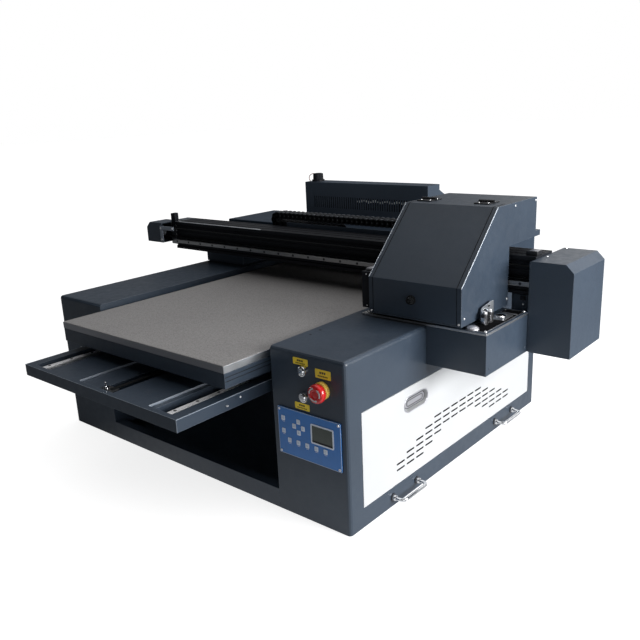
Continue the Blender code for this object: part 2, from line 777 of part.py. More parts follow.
def build_stop_button():
    face = -HALF_DEPTH - GAP
    yellow = material("yellow_collar", (0.85, 0.60, 0.03), 0.45)
    red = material("stop_red", (0.70, 0.02, 0.02), 0.4)
    bore = 0.0100
    cap = 0.016
    collar = prism("estop_collar", circle(STOP, 0.024, 20), "y", face - 0.005, face, yellow)
    cut(collar, prism_mesh(circle(STOP, bore), "y", face - 0.02, face + 0.01))
    pivot = (STOP[0], face, STOP[1])
    front = face - STOP_REACH
    head = prism("estop_head", circle(STOP, STOP_RADIUS, 20), "y", front, front + cap, red, pivot)
    join(head, prism_mesh(circle(STOP, bore - 0.0008), "y", front + cap / 2, 0.012 - HALF_DEPTH))


def build_button(name, place):
    face = -HALF_DEPTH - GAP
    pivot = (place[0], face, place[1])
    cap = (face - BUTTON_REACH, face - 0.005)
    button = prism(name, circle(place, BUTTON_RADIUS), "y", *cap, bright_steel(), pivot)
    stem = (cap[0] + 0.004, 0.010 - HALF_DEPTH)
    join(button, prism_mesh(circle(place, BUTTON_RADIUS - 0.003), "y", *stem))


# Service door and handles


def louvres():
    """One cutter for the door's slots, whose rows step up and down again in an arch."""
    columns = 2 * len(SLOT_ROWS)
    through = (HALF_WIDTH - 0.01, HALF_WIDTH + 0.01)
    slots = []
    for column_index in range(columns):
        first, last = SLOT_ROWS[min(column_index, columns - 1 - column_index)]
        start = SLOT_START[0] + column_index * SLOT_PITCH
        for row in range(first, last + 1):
            low = SLOT_START[1] - row * SLOT_ROW - SLOT_HEIGHT / 2
            slots.append(box_mesh(through, (start, start + SLOT_LENGTH), (low, low + SLOT_HEIGHT)))
    return merged(slots)


def build_door():
    outer = HALF_WIDTH
    pivot = (outer, 0, DOOR_Z[0])
    door = box("side_door", (outer - SHEET, outer), DOOR_Y, DOOR_Z, white_paint(), pivot)
    cut(door, louvres())
    length, height = LATCH_SIZE
    wall = 0.0015
    back = outer - LATCH_DEPTH
    rim = stadium(LATCH, length + 2 * wall, height + 2 * wall)
    join(door, prism_mesh(rim, "x", back - wall, outer - 0.001))
    cut(door, prism_mesh(stadium(LATCH, length, height), "x", back, outer + 0.01))


def build_latch():
    outer = HALF_WIDTH
    length = LATCH_SIZE[0] - 0.012
    height = LATCH_SIZE[1] - 0.010
    hinge = (outer - 0.006, LATCH[0], LATCH[1] + height / 2)
    outline = stadium(LATCH, length, height)
    prism("latch_paddle", outline, "x", outer - 0.0075, outer - 0.0045, white_paint(), hinge)


def handle(name, feet, height):
    """A bent rod whose two ends meet the right side, standing off from it."""
    wall = HALF_WIDTH + GAP
    reach = 0.030
    bend = 0.010
    near, far = feet
    turns = arc((near + bend, wall + reach - bend), bend, 180, 90, 4)
    turns += arc((far - bend, wall + reach - bend), bend, 90, 0, 4)
    route = [(near, wall)] + turns + [(far, wall)]
    curve = bpy.data.curves.new(name, "CURVE")
    curve.dimensions = "3D"
    curve.bevel_depth = 0.0045
    curve.bevel_resolution = 3
    curve.use_fill_caps = True
    line = curve.splines.new("POLY")
    line.points.add(len(route) - 1)
    for point, (y, x) in zip(line.points, route):
        point.co = (x, y, height, 1)
    curve.materials.append(bright_steel())
    obj = bpy.data.objects.new(name, curve)
    bpy.context.scene.collection.objects.link(obj)


# Platform and bed


def build_platform():
    """The tray that the bed rolls on, with four lugs threaded on the lead screws."""
    tray = box("tray", (-TRAY_HALF, TRAY_HALF), (TRAY_FRONT, TRAY_BACK), (TRAY_BOTTOM, TRAY_TOP), painted())
    inside_y = (TRAY_FRONT + TRAY_RIM, TRAY_BACK - TRAY_RIM)
    above = TRAY_TOP + 0.02
    outer = TRAY_HALF - TRAY_SIDE
    rooms = [(-outer, -RECESS_INNER), (RECESS_INNER, outer), CHANNEL_X]
    cut(tray, merged([box_mesh(span, inside_y, (TRAY_FLOOR, above)) for span in rooms]))
    ledges = [(LEDGE_X[0], CHANNEL_X[0] + 0.001), (LEDGE_X[1], RECESS_INNER + 0.001)]
    cut(tray, merged([box_mesh(span, inside_y, (TRAY_TOP - LEDGE_DROP, above)) for span in ledges]))
    wall = 0.004
    hollows = [(wall - RECESS_INNER, CHANNEL_X[0] - wall), (CHANNEL_X[1] + wall, LEDGE_X[1] - wall)]
    below = (TRAY_BOTTOM - 0.02, TRAY_TOP - LEDGE_DROP - 0.0035)
    cut(tray, merged([box_mesh(span, inside_y, below) for span in hollows]))
    lugs = []
    bores = []
    for side in (-1, 1):
        for where in (-SCREW_Y, SCREW_Y):
            lug_x = tuple(sorted((side * (TRAY_HALF - 0.001), side * (BAY_HALF - 0.0008))))
            lug_z = (TRAY_BOTTOM + 0.002, TRAY_TOP - 0.002)
            lugs.append(box_mesh(lug_x, (where - LUG_HALF, where + LUG_HALF), lug_z))
            bore = circle((side * SCREW_X, where), SCREW_RADIUS + GAP, 12)
            bores.append(prism_mesh(bore, "z", TRAY_BOTTOM - 0.02, above))
    join(tray, merged(lugs))
    cut(tray, merged(bores))


def build_bed_rails():
    y = (TRAY_FRONT + TRAY_RIM + 0.003, TRAY_BACK - TRAY_RIM - 0.003)
    z = (TRAY_FLOOR + GAP, TRAY_FLOOR + Y_RAIL_HEIGHT)
    for name, side in (("y_rail_left", -1), ("y_rail_right", 1)):
        x = (side * Y_RAIL_X - RAIL_SIZE / 2, side * Y_RAIL_X + RAIL_SIZE / 2)
        box(name, x, y, z, bright_steel())


def build_bed_drive():
    half = 0.006
    radius = 0.0090
    z = TRAY_FLOOR + 0.0115
    front = TRAY_FRONT + 0.030
    back = TRAY_BACK - 0.070
    centre = ((front + back) / 2, z)
    outer = radius + BELT_THICK
    x = (BED_BELT_X - half, BED_BELT_X + half)
    belt = prism("y_belt", stadium(centre, back - front + 2 * outer, 2 * outer, 8), "x", *x, rubber())
    inner = stadium(centre, back - front + 2 * radius, 2 * radius, 8)
    cut(belt, prism_mesh(inner, "x", x[0] - 0.02, x[1] + 0.02))
    wheel_x = (x[0] - 0.004, x[1] + 0.004)
    for name, place in (("y_idler_pulley", front), ("y_drive_pulley", back)):
        wheel = circle((place, z), radius - GAP)
        prism(name, wheel, "x", *wheel_x, bright_steel(), (BED_BELT_X, place, z))


def build_screws():
    low = SHEET + GAP
    for side, hand in ((-1, "left"), (1, "right")):
        for where, end in ((-SCREW_Y, "front"), (SCREW_Y, "rear")):
            place = (side * SCREW_X, where)
            name = f"lift_screw_{end}_{hand}"
            pivot = (*place, low)
            prism(name, circle(place, SCREW_RADIUS, 12), "z", low, SCREW_TOP, bright_steel(), pivot)


def build_table():
    """The bed: a plate on an open-bottomed frame, whose four blocks ride on the platform's rails."""
    x = (-TABLE_HALF, TABLE_HALF)
    y = (TABLE_FRONT, TABLE_BACK)
    wall = 0.020
    frame = box("table_frame", x, y, (FRAME_BOTTOM, PLATE_BOTTOM - GAP), painted())
    inside_x = (x[0] + wall, x[1] - wall)
    inside_y = (y[0] + wall, y[1] - wall)
    inside_top = PLATE_BOTTOM - 0.006
    cut(frame, box_mesh(inside_x, inside_y, (FRAME_BOTTOM - 0.02, inside_top)))
    into_top = inside_top + 0.002
    block_z = (TRAY_FLOOR + 0.009, into_top)
    play = 0.0005
    half = RAIL_SIZE / 2 + play
    groove_z = (TRAY_FLOOR, TRAY_FLOOR + Y_RAIL_HEIGHT + play)
    blocks = []
    grooves = []
    for rail in (-Y_RAIL_X, Y_RAIL_X):
        for start in (TABLE_FRONT + 0.120, TABLE_BACK - 0.253):
            block_x = (rail - 0.018, rail + 0.018)
            blocks.append(box_mesh(block_x, (start, start + RAIL_BLOCK_LENGTH), block_z))
        grooves.append(box_mesh((rail - half, rail + half), (y[0] + 0.05, y[1] - 0.05), groove_z))
    clamp_x = (BED_BELT_X - 0.006, BED_BELT_X + 0.006)
    blocks.append(box_mesh(clamp_x, (-0.120, -0.060), (TRAY_FLOOR + 0.0226, into_top)))
    join(frame, merged(blocks))
    cut(frame, merged(grooves))
    box("table_plate", x, y, (PLATE_BOTTOM, TABLE_TOP), material("table_plate", (0.33, 0.31, 0.31), 0.6))


def build_all():
    clear_scene()
    build_base_pan()
    build_front_sill()
    side_shell("left_cover", -1)
    build_tower()
    build_rear_panel()
    build_rear_housing()
    build_main_board()
    build_vent_box()
    build_ink_tank()
    build_power_supply()
    build_waste_bottle()
    build_power_inlet()
    column("left_column", (-HALF_WIDTH, -0.346))
    column("right_column", (0.346, 0.500))
    build_beam()
    build_left_end()
    build_end_box()
    build_belt_drive()
    build_chain()
    build_carriage_frame()
    build_heads()
    build_lamp()
    build_hood()
    build_knob()
    build_tub()
    build_caps()
    build_pump_bracket()
    build_control_panel()
    build_stop_button()
    build_button("up_button", UP_BUTTON)
    build_button("down_button", DOWN_BUTTON)
    build_door()
    build_latch()
    handle("handle_front", (-0.289, -0.192), 0.0225)
    handle("handle_rear", (0.203, 0.302), 0.0250)
    build_platform()
    build_bed_rails()
    build_bed_drive()
    build_screws()
    build_table()


build_all()
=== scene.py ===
"""Looks of a flatbed UV printer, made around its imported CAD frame. Metres, +Z up, +X along the beam."""

import json
import math

import bmesh
import bpy
from mathutils import Matrix, Vector


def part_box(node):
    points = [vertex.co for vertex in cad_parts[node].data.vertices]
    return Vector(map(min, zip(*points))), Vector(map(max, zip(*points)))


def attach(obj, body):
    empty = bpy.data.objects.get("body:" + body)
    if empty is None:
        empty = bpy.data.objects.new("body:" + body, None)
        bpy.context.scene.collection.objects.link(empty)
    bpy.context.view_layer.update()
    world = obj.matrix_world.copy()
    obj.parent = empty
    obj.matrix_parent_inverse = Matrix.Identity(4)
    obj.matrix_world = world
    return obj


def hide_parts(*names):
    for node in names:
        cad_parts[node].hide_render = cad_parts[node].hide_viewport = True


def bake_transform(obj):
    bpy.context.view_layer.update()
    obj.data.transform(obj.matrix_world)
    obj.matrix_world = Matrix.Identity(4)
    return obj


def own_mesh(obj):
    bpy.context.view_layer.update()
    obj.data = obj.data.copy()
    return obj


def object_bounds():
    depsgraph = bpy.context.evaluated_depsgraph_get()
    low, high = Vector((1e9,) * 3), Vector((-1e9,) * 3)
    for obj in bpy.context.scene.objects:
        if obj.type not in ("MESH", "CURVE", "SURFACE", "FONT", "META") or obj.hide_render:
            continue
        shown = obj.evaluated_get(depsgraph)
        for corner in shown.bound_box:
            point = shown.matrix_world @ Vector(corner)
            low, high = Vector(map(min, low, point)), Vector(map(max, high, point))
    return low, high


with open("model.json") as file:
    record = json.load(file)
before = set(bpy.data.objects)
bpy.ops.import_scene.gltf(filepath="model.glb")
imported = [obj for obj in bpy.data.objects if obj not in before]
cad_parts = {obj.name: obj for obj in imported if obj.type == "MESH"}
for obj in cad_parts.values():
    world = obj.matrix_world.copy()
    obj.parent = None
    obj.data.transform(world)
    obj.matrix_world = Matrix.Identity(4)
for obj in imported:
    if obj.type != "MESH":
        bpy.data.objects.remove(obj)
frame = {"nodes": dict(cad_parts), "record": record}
cad_low, cad_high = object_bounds()
nodes = frame["nodes"]

# The camera, solved from the photo's vanishing points. Angles in degrees, azimuth from the front.
CAMERA_PLACE = (1.3584, -1.4765, 0.8692)
CAMERA_AZIMUTH = 40.897
CAMERA_ELEVATION = 16.269
CAMERA_ROLL = -2.598
CAMERA_LENS = 40.23

# The glow that the bright paper near the machine throws on it
POOL_CENTRE = (0.24, 0, 0)
POOL_HALF = (0.285, 0.446, 0)
POOL_REACH = 0.55
POOL_GLOW = 0.48

FRAME_BEVEL = 0.0006
SHARP = math.radians(35)


# Camera, light and floor


def build_camera():
    """The photo's viewpoint."""
    azimuth = math.radians(CAMERA_AZIMUTH)
    elevation = math.radians(CAMERA_ELEVATION)
    roll = math.radians(CAMERA_ROLL)
    back = Vector((math.sin(azimuth), -math.cos(azimuth), 0)) * math.cos(elevation)
    back.z = math.sin(elevation)
    right = (-back).cross(Vector((0, 0, 1))).normalized()
    up = right.cross(-back)
    turned_right = math.cos(roll) * right + math.sin(roll) * up
    turned_up = math.cos(roll) * up - math.sin(roll) * right
    data = bpy.data.cameras.new("camera")
    data.lens = CAMERA_LENS
    data.sensor_width = 36
    camera = bpy.data.objects.new("camera", data)
    turn = Matrix((turned_right, turned_up, back)).transposed().to_4x4()
    camera.matrix_world = Matrix.Translation(CAMERA_PLACE) @ turn
    bpy.context.scene.collection.objects.link(camera)
    bpy.context.scene.camera = camera


def softbox(name, place, target, size, power):
    """A rectangular lamp that the camera doesn't see."""
    data = bpy.data.lights.new(name, "AREA")
    data.shape = "RECTANGLE"
    data.size, data.size_y = size
    data.energy = power
    lamp = bpy.data.objects.new(name, data)
    lamp.location = place
    lamp.rotation_euler = (Vector(target) - Vector(place)).to_track_quat("-Z", "Y").to_euler()
    lamp.visible_camera = False
    bpy.context.scene.collection.objects.link(lamp)


def far_light(name, azimuth, elevation, strength, spread):
    """A wide light far away. Azimuth 0 is the front and 90 the machine's right."""
    turn, rise = math.radians(azimuth), math.radians(elevation)
    data = bpy.data.lights.new(name, "SUN")
    data.energy = strength
    data.angle = math.radians(spread)
    lamp = bpy.data.objects.new(name, data)
    towards = Vector((math.sin(turn) * math.cos(rise), -math.cos(turn) * math.cos(rise), math.sin(rise)))
    lamp.rotation_euler = towards.to_track_quat("Z", "Y").to_euler()
    bpy.context.scene.collection.objects.link(lamp)


def set_range(node, low, high, dark, light):
    """Sets a Map Range node to run from dark at low to light at high."""
    for socket, number in (("From Min", low), ("From Max", high), ("To Min", dark), ("To Max", light)):
        node.inputs[socket].default_value = number


def seen_and_lighting(tree, lighting, seen):
    """A shader that lights the room one way and shows another, so the pale ground stays even."""
    ray = tree.nodes.new("ShaderNodeLightPath")
    mix = tree.nodes.new("ShaderNodeMixShader")
    tree.links.new(ray.outputs["Is Camera Ray"], mix.inputs[0])
    tree.links.new(lighting, mix.inputs[1])
    tree.links.new(seen, mix.inputs[2])
    return mix.outputs[0]


def build_world():
    """Bluish room light, stronger from behind. The camera sees plain white."""
    world = bpy.data.worlds.new("studio")
    bpy.context.scene.world = world
    world.use_nodes = True
    tree = world.node_tree
    tree.nodes.clear()
    place = tree.nodes.new("ShaderNodeTexCoord")
    parts = tree.nodes.new("ShaderNodeSeparateXYZ")
    strength = tree.nodes.new("ShaderNodeMapRange")
    set_range(strength, -0.35, 0.45, 0.045, 0.185)
    room = tree.nodes.new("ShaderNodeBackground")
    room.inputs["Color"].default_value = (0.93, 0.96, 1.0, 1)
    wall = tree.nodes.new("ShaderNodeBackground")
    wall.inputs["Color"].default_value = (1, 1, 1, 1)
    out = tree.nodes.new("ShaderNodeOutputWorld")
    tree.links.new(place.outputs["Generated"], parts.inputs[0])
    tree.links.new(parts.outputs["Y"], strength.inputs["Value"])
    tree.links.new(strength.outputs["Result"], room.inputs["Strength"])
    tree.links.new(seen_and_lighting(tree, room.outputs[0], wall.outputs[0]), out.inputs["Surface"])


def build_studio():
    """Soft light from the right and behind, as in the photo."""
    build_world()
    far_light("back_fill", 175, 22, 0.62, 60)
    far_light("top_fill", 180, 78, 1.2, 80)
    softbox("side_box", (2.3, 0.2, 0.85), (0.5, 0, 0.3), (1.2, 0.7), 62)
    softbox("front_box", (1.8, -1.3, 0.35), (0.5, -0.3, 0.3), (1.0, 0.7), 4)
    bpy.context.scene.view_settings.view_transform = "Standard"


def light_pool(tree):
    """The glow of the bright paper near the machine, which fades with distance from its footprint."""
    steps = (
        ("SUBTRACT", POOL_CENTRE),
        ("ABSOLUTE", (0, 0, 0)),
        ("SUBTRACT", POOL_HALF),
        ("MAXIMUM", (0, 0, 0)),
        ("LENGTH", None),
    )
    source = tree.nodes.new("ShaderNodeTexCoord").outputs["Object"]
    for operation, amount in steps:
        step = tree.nodes.new("ShaderNodeVectorMath")
        step.operation = operation
        tree.links.new(source, step.inputs[0])
        if amount:
            step.inputs[1].default_value = amount
        source = step.outputs["Value" if operation == "LENGTH" else "Vector"]
    fade = tree.nodes.new("ShaderNodeMapRange")
    fade.interpolation_type = "SMOOTHSTEP"
    set_range(fade, 0.0, POOL_REACH, POOL_GLOW, 0.0)
    glow = tree.nodes.new("ShaderNodeEmission")
    tree.links.new(source, fade.inputs["Value"])
    tree.links.new(fade.outputs["Result"], glow.inputs["Strength"])
    return glow.outputs[0]


def build_floor():
    """A pale floor, darker to the light than to the eye, so that it doesn't wash the shadows out."""
    mesh = bmesh.new()
    bmesh.ops.create_grid(mesh, x_segments=1, y_segments=1, size=30)
    data = bpy.data.meshes.new("floor")
    mesh.to_mesh(data)
    mesh.free()
    floor = bpy.data.objects.new("floor", data)
    floor.location.z = cad_low.z - 0.0005
    made = bpy.data.materials.new("pale_floor")
    made.use_nodes = True
    tree = made.node_tree
    tree.nodes.remove(tree.nodes["Principled BSDF"])
    dim = tree.nodes.new("ShaderNodeBsdfDiffuse")
    dim.inputs["Color"].default_value = (0.26, 0.27, 0.28, 1)
    pool = light_pool(tree)
    lit = tree.nodes.new("ShaderNodeAddShader")
    tree.links.new(dim.outputs[0], lit.inputs[0])
    tree.links.new(pool, lit.inputs[1])
    pale = tree.nodes.new("ShaderNodeBsdfDiffuse")
    pale.inputs["Color"].default_value = (0.5, 0.5, 0.5, 1)
    glow = tree.nodes.new("ShaderNodeEmission")
    glow.inputs["Strength"].default_value = 0.82
    both = tree.nodes.new("ShaderNodeAddShader")
    tree.links.new(pale.outputs[0], both.inputs[0])
    tree.links.new(glow.outputs[0], both.inputs[1])
    surface = tree.nodes["Material Output"].inputs["Surface"]
    tree.links.new(seen_and_lighting(tree, lit.outputs[0], both.outputs[0]), surface)
    data.materials.append(made)
    bpy.context.scene.collection.objects.link(floor)


# Materials


class Look:
    """A material under construction: its node tree, its shader and its object coordinates."""

    def __init__(self, name, roughness=0.5, metallic=0.0):
        self.made = bpy.data.materials.new(name)
        self.made.use_nodes = True
        self.tree = self.made.node_tree
        self.shader = self.tree.nodes["Principled BSDF"]
        self.shader.inputs["Roughness"].default_value = roughness
        self.shader.inputs["Metallic"].default_value = metallic
        self.place = self.tree.nodes.new("ShaderNodeTexCoord").outputs["Object"]
        self.height = None

    def node(self, kind, links=(), **values):
        """A new node, with its properties or inputs set and its sockets linked."""
        made = self.tree.nodes.new(kind)
        for key, value in values.items():
            if hasattr(made, key):
                setattr(made, key, value)
            else:
                made.inputs[key.replace("_", " ").title()].default_value = value
        for socket, source in dict(links).items():
            self.tree.links.new(source, made.inputs[socket])
        return made

    def noise(self, scale, detail=3.0, stretch=None):
        """Noise over the object, stretched by a scale on each axis."""
        place = self.place
        if stretch:
            place = self.node("ShaderNodeMapping", {"Vector": place}, Scale=stretch).outputs[0]
        return self.node("ShaderNodeTexNoise", {"Vector": place}, scale=scale, detail=detail).outputs["Fac"]

    def ramp(self, value, low, high, dark=0.0, light=1.0):
        """Takes the value from the range low to high into the range dark to light."""
        found = self.node("ShaderNodeMapRange", {"Value": value})
        set_range(found, low, high, dark, light)
        return found.outputs["Result"]

    def times(self, source, factor):
        made = self.node("ShaderNodeMath", {0: source}, operation="MULTIPLY")
        made.inputs[1].default_value = factor
        return made.outputs[0]

    def mix(self, factor, low, high, blend="MIX"):
        """Mixes two colours, each a tuple or a socket, by a number or a socket."""
        made = self.node("ShaderNodeMix", data_type="RGBA", blend_type=blend)
        if isinstance(factor, float):
            made.inputs["Factor"].default_value = factor
        else:
            self.tree.links.new(factor, made.inputs["Factor"])
        for socket, colour in ((6, low), (7, high)):
            if isinstance(colour, tuple):
                made.inputs[socket].default_value = (*colour, 1)
            else:
                self.tree.links.new(colour, made.inputs[socket])
        return made.outputs[2]

    def colour(self, source):
        self.tree.links.new(source, self.shader.inputs["Base Color"])
        return self

    def mottled(self, value, low, high):
        """Colours the look from low to high by the value."""
        return self.colour(self.mix(self.ramp(value, 0.3, 0.7), low, high))

    def rough(self, source):
        self.tree.links.new(source, self.shader.inputs["Roughness"])
        return self

    def bump(self, height, distance, strength):
        """Adds a relief to those already there."""
        made = self.node("ShaderNodeBump", {"Height": height})
        made.inputs["Distance"].default_value = distance
        made.inputs["Strength"].default_value = strength
        if self.height:
            self.tree.links.new(self.height, made.inputs["Normal"])
        self.height = made.outputs[0]
        self.tree.links.new(self.height, self.shader.inputs["Normal"])
        return self

    def edges(self, radius):
        """1 on a bend or an edge sharper than the radius, 0 on flat ground."""
        soft = self.node("ShaderNodeBevel", samples=4)
        soft.inputs["Radius"].default_value = radius
        true = self.node("ShaderNodeNewGeometry").outputs["True Normal"]
        dot = self.node("ShaderNodeVectorMath", {0: soft.outputs[0], 1: true}, operation="DOT_PRODUCT")
        return self.ramp(dot.outputs["Value"], 0.98, 0.75)


DARK_PAINT = (0.029, 0.043, 0.064)
LIGHT_PAINT = (0.034, 0.05, 0.074)
# Colour of the paint's edges: wear, and painted highlight where edges catch the light
WORN_AND_HIGHLIGHT_PAINT = (0.15, 0.18, 0.22)


def powder_coat(name, dark, light, roughness, worn_and_highlight, specular=0.5, wear_and_sheen=0.9):
    """Fine textured powder coat: mottled, with a slight orange peel and edges a little lighter, as wear and
    painted highlight.
    """
    look = Look(name)
    look.shader.inputs["Specular IOR Level"].default_value = specular
    patches = look.ramp(look.noise(5.0, 4.0), 0.35, 0.65)
    tint = look.mix(patches, dark, light)
    grain = look.ramp(look.noise(1400.0, 2.0), 0.3, 0.7, 0.82, 1.12)
    speck = look.node("ShaderNodeCombineColor", {0: grain, 1: grain, 2: grain}).outputs[0]
    tint = look.mix(1.0, tint, speck, "MULTIPLY")
    # Bends and edges lighter: wear and painted highlight
    tint = look.mix(look.times(look.edges(0.0016), wear_and_sheen), tint, worn_and_highlight)
    look.colour(tint)
    look.rough(look.ramp(look.noise(60.0), 0.3, 0.7, roughness - 0.05, roughness + 0.06))
    look.bump(look.noise(900.0, 3.0), 0.0002, 0.35)
    return look.made


def anodised():
    """Black anodised metal with faint drawn lines along X."""
    look = Look("black_anodised")
    look.shader.inputs["Specular IOR Level"].default_value = 0.16
    lines = look.noise(60.0, 4.0, (0.4, 14.0, 14.0))
    look.mottled(lines, (0.007, 0.008, 0.011), (0.013, 0.015, 0.02))
    look.rough(look.ramp(lines, 0.3, 0.7, 0.42, 0.56))
    look.bump(lines, 0.0001, 0.3)
    return look.made


def ground_steel(name, along=(0.02, 1.0, 1.0), tone=0.72, roughness=0.24, metallic=1.0):
    """Steel with ground lines. Along is the noise's scale on each axis, small along the lines."""
    look = Look(name, roughness, metallic)
    lines = look.noise(900.0, 3.0, along)
    look.mottled(lines, (tone * 0.86,) * 3, (tone, tone, tone * 1.02))
    look.rough(look.ramp(lines, 0.3, 0.7, roughness - 0.07, roughness + 0.1))
    look.bump(lines, 0.00006, 0.25)
    return look.made


def chrome():
    """Bright plating with faint smudges."""
    look = Look("chrome", 0.08, 1.0)
    smudge = look.noise(70.0, 3.0)
    look.colour(look.mix(look.ramp(smudge, 0.4, 0.6), (0.74, 0.75, 0.77), (0.8, 0.81, 0.83)))
    look.rough(look.ramp(smudge, 0.35, 0.7, 0.05, 0.16))
    return look.made


def moulded(name, colour, roughness, variation=0.12, grain=700.0, depth=0.00012, specular=0.5):
    """Moulded plastic with a fine grain."""
    look = Look(name, roughness)
    look.shader.inputs["Specular IOR Level"].default_value = specular
    darker = tuple(part * (1 - variation) for part in colour)
    look.mottled(look.noise(40.0), darker, colour)
    look.rough(look.ramp(look.noise(120.0), 0.3, 0.7, roughness - 0.05, roughness + 0.07))
    look.bump(look.noise(grain, 2.0), depth, 0.3)
    return look.made


def bed_coating():
    """The bed's matt grey top: a fine speckle over a faint weave."""
    look = Look("bed_coating", 0.62)
    fine = look.noise(1500.0, 3.0)
    cloud = look.noise(6.0, 3.0)
    tint = look.mix(look.ramp(cloud, 0.3, 0.7), (0.205, 0.196, 0.194), (0.23, 0.22, 0.217))
    tint = look.mix(look.ramp(fine, 0.35, 0.65, 0.0, 0.4), tint, (0.3, 0.29, 0.287))
    speck = look.noise(430.0, 2.0)
    tint = look.mix(look.ramp(speck, 0.4, 0.68, 0.0, 0.75), tint, (0.33, 0.32, 0.316))
    tint = look.mix(look.ramp(speck, 0.44, 0.28, 0.0, 0.75), tint, (0.14, 0.133, 0.131))
    look.colour(tint)
    look.rough(look.ramp(fine, 0.3, 0.7, 0.55, 0.72))
    look.bump(fine, 0.00015, 0.5)
    return look.made


def clear_coated(name, colour, roughness):
    """Smooth moulded or enamelled surface with a gloss layer and faint smears."""
    look = Look(name, roughness)
    smear = look.noise(55.0, 3.0)
    look.mottled(smear, tuple(part * 0.88 for part in colour), colour)
    look.rough(look.ramp(smear, 0.3, 0.7, roughness - 0.06, roughness + 0.08))
    look.shader.inputs["Coat Weight"].default_value = 0.35
    look.shader.inputs["Coat Roughness"].default_value = 0.12
    look.bump(look.noise(260.0, 2.0), 0.00003, 0.3)
    return look.made


def extruded_aluminium():
    """Drawn aluminium: fine lines along the length and cloudy patches."""
    look = Look("aluminium", 0.3, 1.0)
    lines = look.noise(700.0, 3.0, (1.0, 0.02, 1.0))
    cloud = look.noise(26.0, 4.0)
    tint = look.mix(look.ramp(lines, 0.3, 0.7), (0.7, 0.73, 0.77), (0.82, 0.85, 0.88))
    look.colour(look.mix(look.ramp(cloud, 0.35, 0.7, 0.0, 0.2), tint, (0.52, 0.56, 0.62)))
    look.rough(look.ramp(cloud, 0.3, 0.7, 0.3, 0.4))
    look.bump(lines, 0.00005, 0.3)
    return look.made


def cast_metal(name, tone=0.36, roughness=0.43):
    """Grainy grey metal."""
    look = Look(name, roughness, 0.9)
    grain = look.noise(900.0, 3.0)
    low, high = tone * 0.85, tone * 1.12
    look.mottled(grain, (low, low, low * 1.06), (high, high, high * 1.06))
    look.rough(look.ramp(grain, 0.3, 0.7, roughness - 0.07, roughness + 0.07))
    look.bump(grain, 0.0001, 0.4)
    return look.made


def brass():
    """Turned brass, a little worn."""
    look = Look("brass", 0.3, 1.0)
    wear_and_sheen = look.noise(120.0, 3.0)
    look.mottled(wear_and_sheen, (0.62, 0.44, 0.18), (0.76, 0.58, 0.28))
    look.rough(look.ramp(wear_and_sheen, 0.3, 0.7, 0.22, 0.4))
    return look.made


PAINT = powder_coat("powder_coat", DARK_PAINT, LIGHT_PAINT, 0.4, WORN_AND_HIGHLIGHT_PAINT)
SATIN = powder_coat("satin_coat", DARK_PAINT, LIGHT_PAINT, 0.58, WORN_AND_HIGHLIGHT_PAINT, 0.14, 0.5)
# A lighter copy of the satin coat for the vent box and the columns: painted light
LIT_SATIN = powder_coat("painted_light_satin_coat", (0.056, 0.074, 0.1), (0.064, 0.083, 0.112), 0.55, WORN_AND_HIGHLIGHT_PAINT, 0.1, 0.5)
WHITE = powder_coat("white_coat", (0.54, 0.55, 0.56), (0.57, 0.58, 0.59), 0.4, (0.5, 0.52, 0.55), 0.4, 0.5)
# A pale copy of the paint for the strips along the hood's slanted edges: painted highlight
RIM_HIGHLIGHT_PAINT = powder_coat("painted_rim_highlight", (0.48, 0.53, 0.6), (0.56, 0.61, 0.68), 0.3, (0.7, 0.74, 0.8))
# A lighter copy of the paint: the light angle on the left end, and painted highlight on the tray's edges
LIGHT_TRIM_AND_HIGHLIGHT = powder_coat("light_trim_and_highlight", (0.2, 0.24, 0.29), (0.26, 0.3, 0.36), 0.35, (0.34, 0.38, 0.44))
ANODISED = anodised()
STEEL_X = ground_steel("ground_steel", tone=0.4, roughness=0.34)
ZINC = ground_steel("zinc_plate", (1.0, 1.0, 1.0), 0.9, 0.28, 0.45)
# A much lighter copy of the ground steel for the bed's rails: painted highlight
LIT_STEEL_Y = ground_steel("lit_ground_steel_lengthways", (1.0, 0.02, 1.0), 0.95, 0.3, 0.35)
STEEL_Z = ground_steel("turned_steel", (1.0, 1.0, 0.05))
SHEET_STEEL = ground_steel("stainless_sheet", (0.03, 1.0, 1.0), 0.62, 0.34)
ALUMINIUM = extruded_aluminium()
CAST = cast_metal("cast_metal")
DARK_CAST = cast_metal("dark_metal", 0.1, 0.34)
SILVER = cast_metal("silver_zinc", 0.62, 0.36)
BRASS = brass()
CHROME = chrome()
BLACK = moulded("black_plastic", (0.012, 0.013, 0.016), 0.45, specular=0.3)
# Near black for the shade in holes, slots, grooves and wells, and for dark joints: painted shade
SHADE_AND_DARK_JOINT = moulded("painted_shade_and_dark_joint", (0.004, 0.004, 0.005), 0.85, specular=0.05)
LINK = moulded("chain_plastic", (0.018, 0.02, 0.024), 0.42, 0.25, 500.0, 0.0002, 0.35)
# Lighter grey for the bars on the chain's top: painted highlight
TOP_HIGHLIGHT = moulded("chain_top_highlight", (0.12, 0.13, 0.146), 0.36)
RUBBER = moulded("belt_rubber", (0.008, 0.009, 0.01), 0.8, specular=0.12)
BLUE = clear_coated("blue_film", (0.028, 0.18, 0.54), 0.36)
KEY = moulded("key_plastic", (0.74, 0.81, 0.92), 0.42)
PRINT = moulded("panel_print", (0.36, 0.46, 0.64), 0.5)
GLASS = clear_coated("display_glass", (0.055, 0.068, 0.058), 0.16)
YELLOW = clear_coated("yellow_plastic", (0.86, 0.56, 0.1), 0.34)
LABEL = moulded("yellow_label", (0.98, 0.72, 0.05), 0.45)
INK = moulded("label_print", (0.06, 0.045, 0.02), 0.5)
RED = clear_coated("red_plastic", (0.56, 0.012, 0.014), 0.24)
BED = bed_coating()
TANK = moulded("tank_plastic", (0.62, 0.64, 0.64), 0.4)
